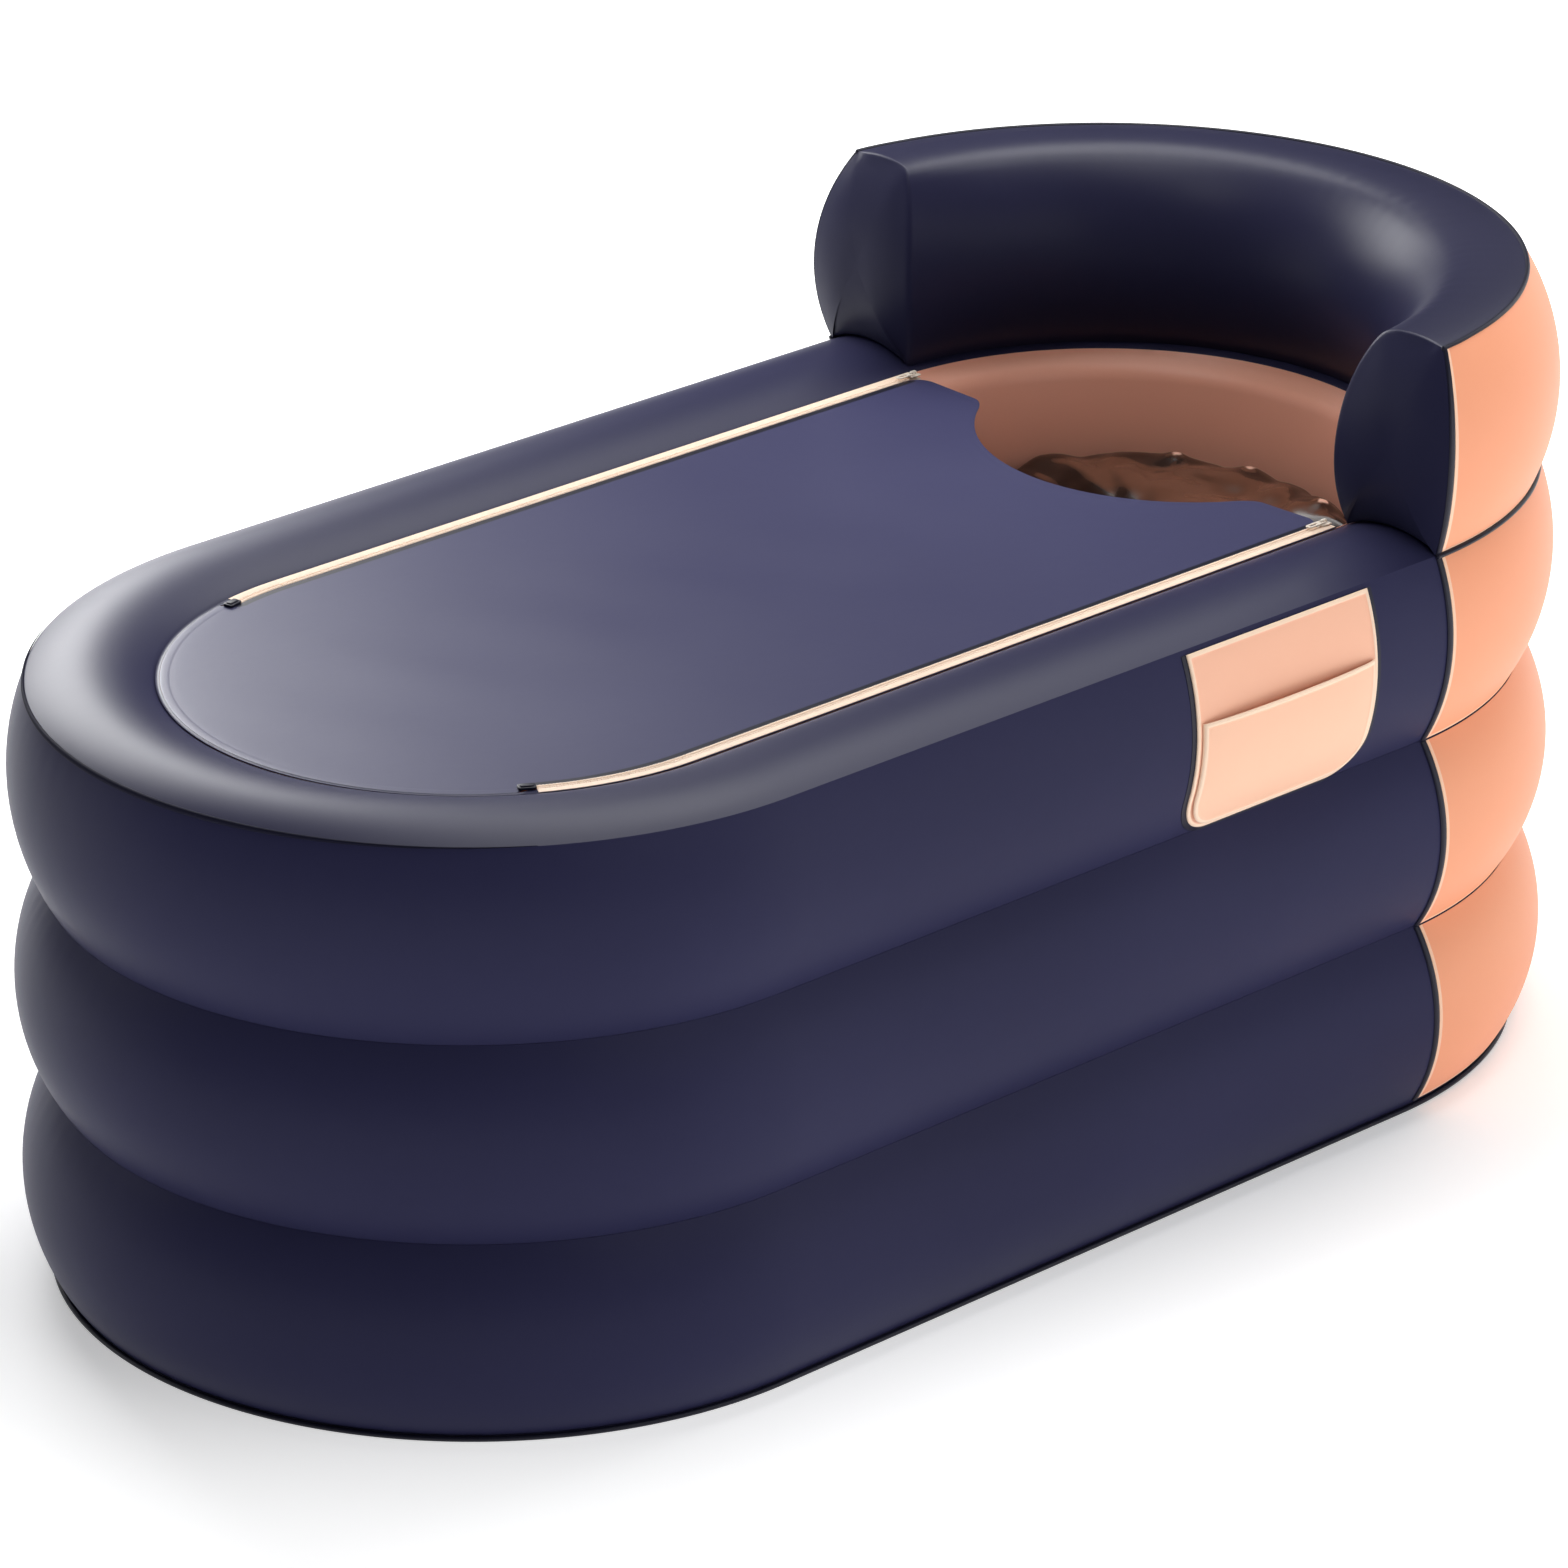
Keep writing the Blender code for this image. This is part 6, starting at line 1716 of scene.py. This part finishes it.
# %% Lay the cushions in
floor_spine = ((-HALF_STRAIGHT, 0), (FLOOR_CUSHION_HEAD - CUSHION_REACH, 0))
floor_cushion = cushion_mesh(
    "floor_cushion_air", dee(-HALF_STRAIGHT, FLOOR_CUSHION_HEAD), floor_spine,
    lambda x: np.full(np.shape(x), FLOOR_CUSHION_RISE), edge=0.022, shrink=0.004
)
floor_welds = [(x, y, 0.03) for x in np.arange(-0.52, 0.24, 0.12) for y in (-0.12, 0.0, 0.12)]
swelled(floor_cushion, spots(floor_welds, 0.012), FLOOR_SEAT)
dressed(floor_cushion, cushion_vinyl, "liner_vinyl", "tub", "floor_cushion")

ramp_spine = ((HALF_STRAIGHT - 0.045, 0), (HALF_STRAIGHT + 0.045, 0))
head_cushion = cushion_mesh(
    "head_cushion_air", dee(HALF_STRAIGHT, RAMP_FRONT), ramp_spine, ramp_rise, edge=0.015
)
ramp_rows = (
    (0.36, 0.06, (-0.13, 0.0, 0.13)),
    (0.45, 0.2, (-0.15, -0.05, 0.05, 0.15)),
    (0.545, 0.4, (-0.13, -0.045, 0.045, 0.13)),
)
ramp_welds = [(x, y, low) for x, low, row in ramp_rows for y in row]
swelled(head_cushion, spots(ramp_welds, 0.013), RAMP_SEAT)
dressed(head_cushion, cushion_vinyl, "liner_vinyl", "tub", "head_cushion")
print("cushion tops:", [round(p.dimensions.z, 3) for p in (floor_cushion, head_cushion)])

# %% [markdown]
# ## Valves and drain
# Each chamber has a push-in valve: a clear flange welded to the skin, a short tube and
# a navy cap with a thumb rim. The drain is a larger tube through the lowest ring with
# a stopper at each end. Turned profiles suit them all, with their corners rounded, as
# in any moulding.

# %% Turned parts
def turned(name, profile, place, way, sides=40):
    """A closed turned mesh from (radius, height) points, listed from top to bottom."""
    profile = np.asarray(profile, float)
    turn = np.linspace(0, 2 * math.pi, sides, endpoint=False)
    ring_points = np.stack([
        profile[None, :, 0] * np.cos(turn)[:, None], profile[None, :, 0] * np.sin(turn)[:, None],
        np.broadcast_to(profile[None, :, 1], (sides, len(profile)))
    ], axis=2)
    frame_turn = Vector(way).to_track_quat("Z", "Y").to_matrix().to_4x4()
    mesh = bpy.data.meshes.new(name)
    closed = profile[0, 0] > 1e-9
    faces = quads(sides, len(profile), over_rows=True, over_columns=closed)
    mesh.from_pydata(ring_points.reshape(-1, 3).tolist(), [], faces)
    mesh.transform(Matrix.Translation(place) @ frame_turn)
    bm = bmesh.new()
    bm.from_mesh(mesh)
    bmesh.ops.remove_doubles(bm, verts=bm.verts, dist=1e-7)
    bmesh.ops.recalc_face_normals(bm, faces=bm.faces)
    bm.to_mesh(mesh)
    bm.free()
    return mesh


def rounded_profile(corners, radius):
    """Profile points with every corner between the two ends rounded."""
    points = [corners[0]]
    for before, here, after in zip(corners, corners[1:], corners[2:]):
        reach = min(radius, 0.45 * math.dist(before, here), 0.45 * math.dist(after, here))
        points.extend(corner_curve(before, here, after, reach, (0.0, 0.3, 0.7, 1.0)))
    points.append(corners[-1])
    return points


# %% Clear and navy mouldings
CLEAR = (0.700, 0.720, 0.740)
CLEAR_PALE = (0.780, 0.790, 0.800)
clear_vinyl = vinyl("clear_vinyl", CLEAR, CLEAR_PALE, 0.24, wander=0.06, grain=0.2, coat=0.2)
clear_vinyl.shader.inputs["Transmission Weight"].default_value = 0.35
navy_plastic = vinyl("navy_plastic", NAVY, NAVY_PALE, 0.32, wander=0.05, grain=0.3, coat=0.15)

FLANGE_RADIUS, FLANGE_THICKNESS = 0.017, 0.0015
TUBE_RADIUS, BORE_RADIUS, TUBE_LENGTH = 0.0085, 0.0060, 0.016
CAP_RADIUS, CAP_THICKNESS, PLUG_LENGTH = 0.0130, 0.0030, 0.0080
SEAT = 0.0003
SLACK = 0.0003


def valve(name, place, way):
    """A valve's flange and tube, and its cap with a rim and a plug; gives its real place."""
    way = Vector(way).normalized()
    place = Vector(place) + way * SEAT
    body = turned(name + "_body", rounded_profile([
        (BORE_RADIUS, FLANGE_THICKNESS), (FLANGE_RADIUS - 0.0015, FLANGE_THICKNESS),
        (FLANGE_RADIUS, 0.0006), (FLANGE_RADIUS, 0.0), (TUBE_RADIUS, 0.0),
        (TUBE_RADIUS, -TUBE_LENGTH), (BORE_RADIUS, -TUBE_LENGTH)
    ], 0.0004), place, way)
    piece = one_piece(name + "_clear", [body])
    dressed(piece, clear_vinyl, "clear_vinyl", "tub", name)
    low = FLANGE_THICKNESS + SEAT
    high = low + CAP_THICKNESS
    cap = turned(name + "_cap", rounded_profile([
        (0, high - 0.0009), (CAP_RADIUS - 0.0040, high - 0.0009), (CAP_RADIUS - 0.0028, high),
        (CAP_RADIUS, high), (CAP_RADIUS, low), (BORE_RADIUS - SLACK, low),
        (BORE_RADIUS - SLACK, low - PLUG_LENGTH + 0.001), (BORE_RADIUS - 0.0012, low - PLUG_LENGTH),
        (0, low - PLUG_LENGTH)
    ], 0.0006), place, way)
    piece = one_piece(name + "_cap_moulding", [cap])
    dressed(piece, navy_plastic, "navy_plastic", name + "_cap", name + "_cap")
    return place


# %% [markdown]
# A valve sits in a hole. The skins here are closed, so each hole is bored with a
# cylinder, and what shows inside the tube is the dark of the chamber.

# %% Bore the skins
def bored(piece, radius, depth, place, way):
    """Cuts a round hole of a depth into a piece, and keeps its finish."""
    tool = turned("bore", [(0, 0.01), (radius, 0.01), (radius, -depth), (0, -depth)], place, way)
    cutter = placed("bore", tool)
    cut = piece.modifiers.new("bore", "BOOLEAN")
    cut.operation, cut.solver, cut.object = "DIFFERENCE", "EXACT", cutter
    applied(piece)
    bpy.data.objects.remove(cutter)
    bpy.data.meshes.remove(tool)
    return len(piece.data.vertices)


# %% Place the valves
VALVE_X = 0.150
BACKREST_VALVE_TURN = math.radians(60.0)
outward = np.array([math.cos(BACKREST_VALVE_TURN), math.sin(BACKREST_VALVE_TURN), 0.0])
backrest_middle = (BACKREST_SEAT + BACKREST_TOP) / 2
wall_inset = float(np.interp(backrest_middle, *backrest_wall[:, ::-1].T))
valve_reach = END_RADIUS - wall_inset + PANEL_OFF + PANEL_THICKNESS
backrest_valve_place = outward * valve_reach + [HALF_STRAIGHT, 0, backrest_middle]
valves = {}
for k, level in enumerate(("lower", "middle", "upper")):
    seat = (VALVE_X, END_RADIUS + SEAT, (k + 0.5) * TIER_HEIGHT)
    valves[level + "_valve"] = (seat, (0, 1, 0), [rings[level + "_ring"]])
valves["backrest_valve"] = (backrest_valve_place, outward, [backrest, panels["backrest"]])
valves["floor_cushion_valve"] = (FLOOR_SEAT, (0, 0, 1), [])
valves["head_cushion_valve"] = (RAMP_SEAT, (0, 0, 1), [])
for name, (place, way, carriers) in valves.items():
    place = valve(name, place, way)
    counts = [bored(piece, TUBE_RADIUS + SLACK, TUBE_LENGTH + SLACK, place, way) for piece in carriers]
    print(name, [round(float(v), 4) for v in place], counts)

# %% [markdown]
# The drain runs from the outside through the lowest ring and the liner. Its two
# stoppers are alike: a plate with a raised rim and a plug that fills the bore.

# %% Drain
DRAIN_X = -0.300
DRAIN_LEVEL = (FLOOR_TOP + TIER_HEIGHT) / 2
DRAIN_TUBE, DRAIN_BORE, DRAIN_FLANGE = 0.0190, 0.0155, 0.0270
DRAIN_FLANGE_THICKNESS = 0.0020
DRAIN_LENGTH = THROUGH_WALL + SLACK
STOPPER_RADIUS, STOPPER_THICKNESS, STOPPER_PLUG = 0.0215, 0.0040, 0.0120
outer_face = SLACK + DRAIN_FLANGE_THICKNESS
inner_end = -DRAIN_LENGTH - DRAIN_FLANGE_THICKNESS
drain_profile = rounded_profile([
    (DRAIN_BORE, outer_face), (DRAIN_FLANGE, outer_face), (DRAIN_FLANGE, SLACK),
    (DRAIN_TUBE, SLACK), (DRAIN_TUBE, -DRAIN_LENGTH), (DRAIN_FLANGE, -DRAIN_LENGTH),
    (DRAIN_FLANGE, inner_end), (DRAIN_BORE, inner_end)
], 0.0005)
drain_place = (DRAIN_X, END_RADIUS, DRAIN_LEVEL)
drain = one_piece("drain_moulding", [turned("drain", drain_profile, drain_place, (0, 1, 0), 64)])
dressed(drain, clear_vinyl, "clear_vinyl", "tub", "drain_tube")
for piece in (rings["lower_ring"], liner_wall):
    bored(piece, DRAIN_TUBE + SLACK, DRAIN_LENGTH + 0.01, drain_place, (0, 1, 0))

RECESS = STOPPER_THICKNESS - 0.0014
stopper_profile = rounded_profile([
    (0, RECESS), (0.0030, RECESS), (0.0040, STOPPER_THICKNESS), (0.0075, STOPPER_THICKNESS),
    (0.0085, RECESS), (STOPPER_RADIUS - 0.0045, RECESS),
    (STOPPER_RADIUS - 0.0032, STOPPER_THICKNESS), (STOPPER_RADIUS, STOPPER_THICKNESS),
    (STOPPER_RADIUS, 0), (DRAIN_BORE - SLACK, 0),
    (DRAIN_BORE - SLACK, 0.0015 - STOPPER_PLUG), (DRAIN_BORE - 0.002, -STOPPER_PLUG), (0, -STOPPER_PLUG)
], 0.0007)
cap_seat = END_RADIUS + outer_face + SLACK
plug_seat = END_RADIUS + inner_end - SLACK
for name, seat, sign in (("drain_cap", cap_seat, 1), ("drain_plug", plug_seat, -1)):
    shape = turned(name, stopper_profile, (DRAIN_X, seat, DRAIN_LEVEL), (0, sign, 0), 64)
    stopper = one_piece(name + "_moulding", [shape])
    dressed(stopper, navy_plastic, "navy_plastic", name, name)
print("drain:", round(DRAIN_LENGTH, 4), "m through the ring")

# %% [markdown]
# ## Floor and light
# The photograph stands on pure white with soft shadows. The floor is a pale sheet that
# glows: its glow is dimmest near the bath, except in front, which paints the soft shadow
# round it, and turns full white between 1.3 and 2.6 metres out; the lamps add to it. The
# glow also lifts the lower half of each ring. The light comes from the far side and the
# head end: high lamps for the cover, low ones for the peach side, and a box behind the
# foot whose reflection lies on the cover there. A weak narrow lamp over the opening lifts
# the liner's wall. The camera's side stays dim, which is what keeps the navy walls deep.

# %% Floor
FLOOR_HALF = 14
GLOW_IN_PAINTED_SHADOW, FRONT_GLOW = 0.36, 0.68
bpy.context.scene.view_settings.view_transform = "Standard"
floor_mesh = bpy.data.meshes.new("studio_floor")
floor_corners = [(-FLOOR_HALF, -FLOOR_HALF, 0), (FLOOR_HALF, -FLOOR_HALF, 0)]
floor_corners += [(FLOOR_HALF, FLOOR_HALF, 0), (-FLOOR_HALF, FLOOR_HALF, 0)]
floor_mesh.from_pydata(floor_corners, [], [(0, 1, 2, 3)])
studio_floor = placed("studio_floor", floor_mesh)
floor_finish = Finish("studio_floor", Roughness=0.75, Specular_IOR_Level=0.1, Emission_Strength=1.0)
place = floor_finish.place
# Painted shadow: the glow stays low near the bath, except in front, and rises to white further out.
in_front = (place.part(0) * -0.5 + place.part(1) * -0.86).rise(0.15, 0.75)
away = place.node("VectorMath", {"operation": "LENGTH"}, {0: place}, output=1)
painted_floor_glow = in_front * (FRONT_GLOW - GLOW_IN_PAINTED_SHADOW) + GLOW_IN_PAINTED_SHADOW
painted_floor_glow = painted_floor_glow + (1 - painted_floor_glow) * away.rise(1.3, 2.6)
floor_finish.feed("Emission Color", painted_floor_glow.blend_colours((0.0, 0.0, 0.0), (1.0, 1.0, 1.0)))
floor_finish.feed(
    "Base Color", floor_finish.noise(0.6, 2.0).blend_colours((0.90, 0.90, 0.905), (0.93, 0.93, 0.935))
)
floor_mesh.materials.append(floor_finish.material)
print("floor:", 2 * FLOOR_HALF, "m across")

# %% [markdown]
# The room is white to the eye, but the bath must not mirror a white room, or navy turns
# to grey. So what lights and reflects in it is dim above the horizon and dark below.

# %% Room
SEEN_WHITE = 1.05
ROOM_ABOVE = 0.03
ROOM_BELOW = 0.02
world = bpy.data.worlds.new("studio")
bpy.context.scene.world = world
world.use_nodes = True
sky = Wire(world.node_tree)
background = world.node_tree.nodes["Background"]
seen = sky.node("LightPath", output="Is Camera Ray")
way = sky.node("TexCoord", output="Generated")
upward = way.part(2).rise(-0.08, 0.22)
lighting = upward * (ROOM_ABOVE - ROOM_BELOW) + ROOM_BELOW
strength = seen * SEEN_WHITE + (1 - seen) * lighting
world.node_tree.links.new(strength.socket, background.inputs["Strength"])
background.inputs["Color"].default_value = (1.0, 1.0, 1.0, 1.0)

# %% Lights
LAMP_AIM = (0.0, 0.0, 0.35)


def softbox(name, place, watts, size=1.6, aim=LAMP_AIM, spread=180.0):
    """A square lamp at a place, turned to face the bath."""
    lamp = bpy.data.lights.new(name, "AREA")
    lamp.size = size
    lamp.energy = watts
    lamp.spread = math.radians(spread)
    holder = placed(name, lamp)
    holder.location = place
    holder.rotation_euler = (Vector(aim) - Vector(place)).to_track_quat("-Z", "Y").to_euler()
    holder.visible_camera = False


softbox("low_head", (3.13, 0.0, 1.02), 8)
softbox("head", (2.62, 0.0, 2.19), 10)
softbox("high_head", (1.60, 0.0, 3.12), 26)
softbox("high_far_side", (1.13, 1.13, 3.12), 35)
softbox("top", (0.0, 0.0, 3.55), 29)
softbox("low_pocket_side", (1.5, -2.7, 1.0), 19)
softbox("pocket_side", (-0.3, -2.8, 1.6), 13)
softbox("low_far_side", (0.6, 3.07, 1.02), 18)
softbox("low_foot", (-2.21, 2.21, 1.02), 9)
softbox("box_behind_foot", (0.2, 1.9, 1.5), 30, 1.0)
softbox("box_behind_head", (1.0, 2.4, 1.9), 6, 1.2)
softbox("over_the_opening", (-0.35, 0.0, 1.6), 0.14, 0.5, (0.60, 0.0, 0.46), 25.0)
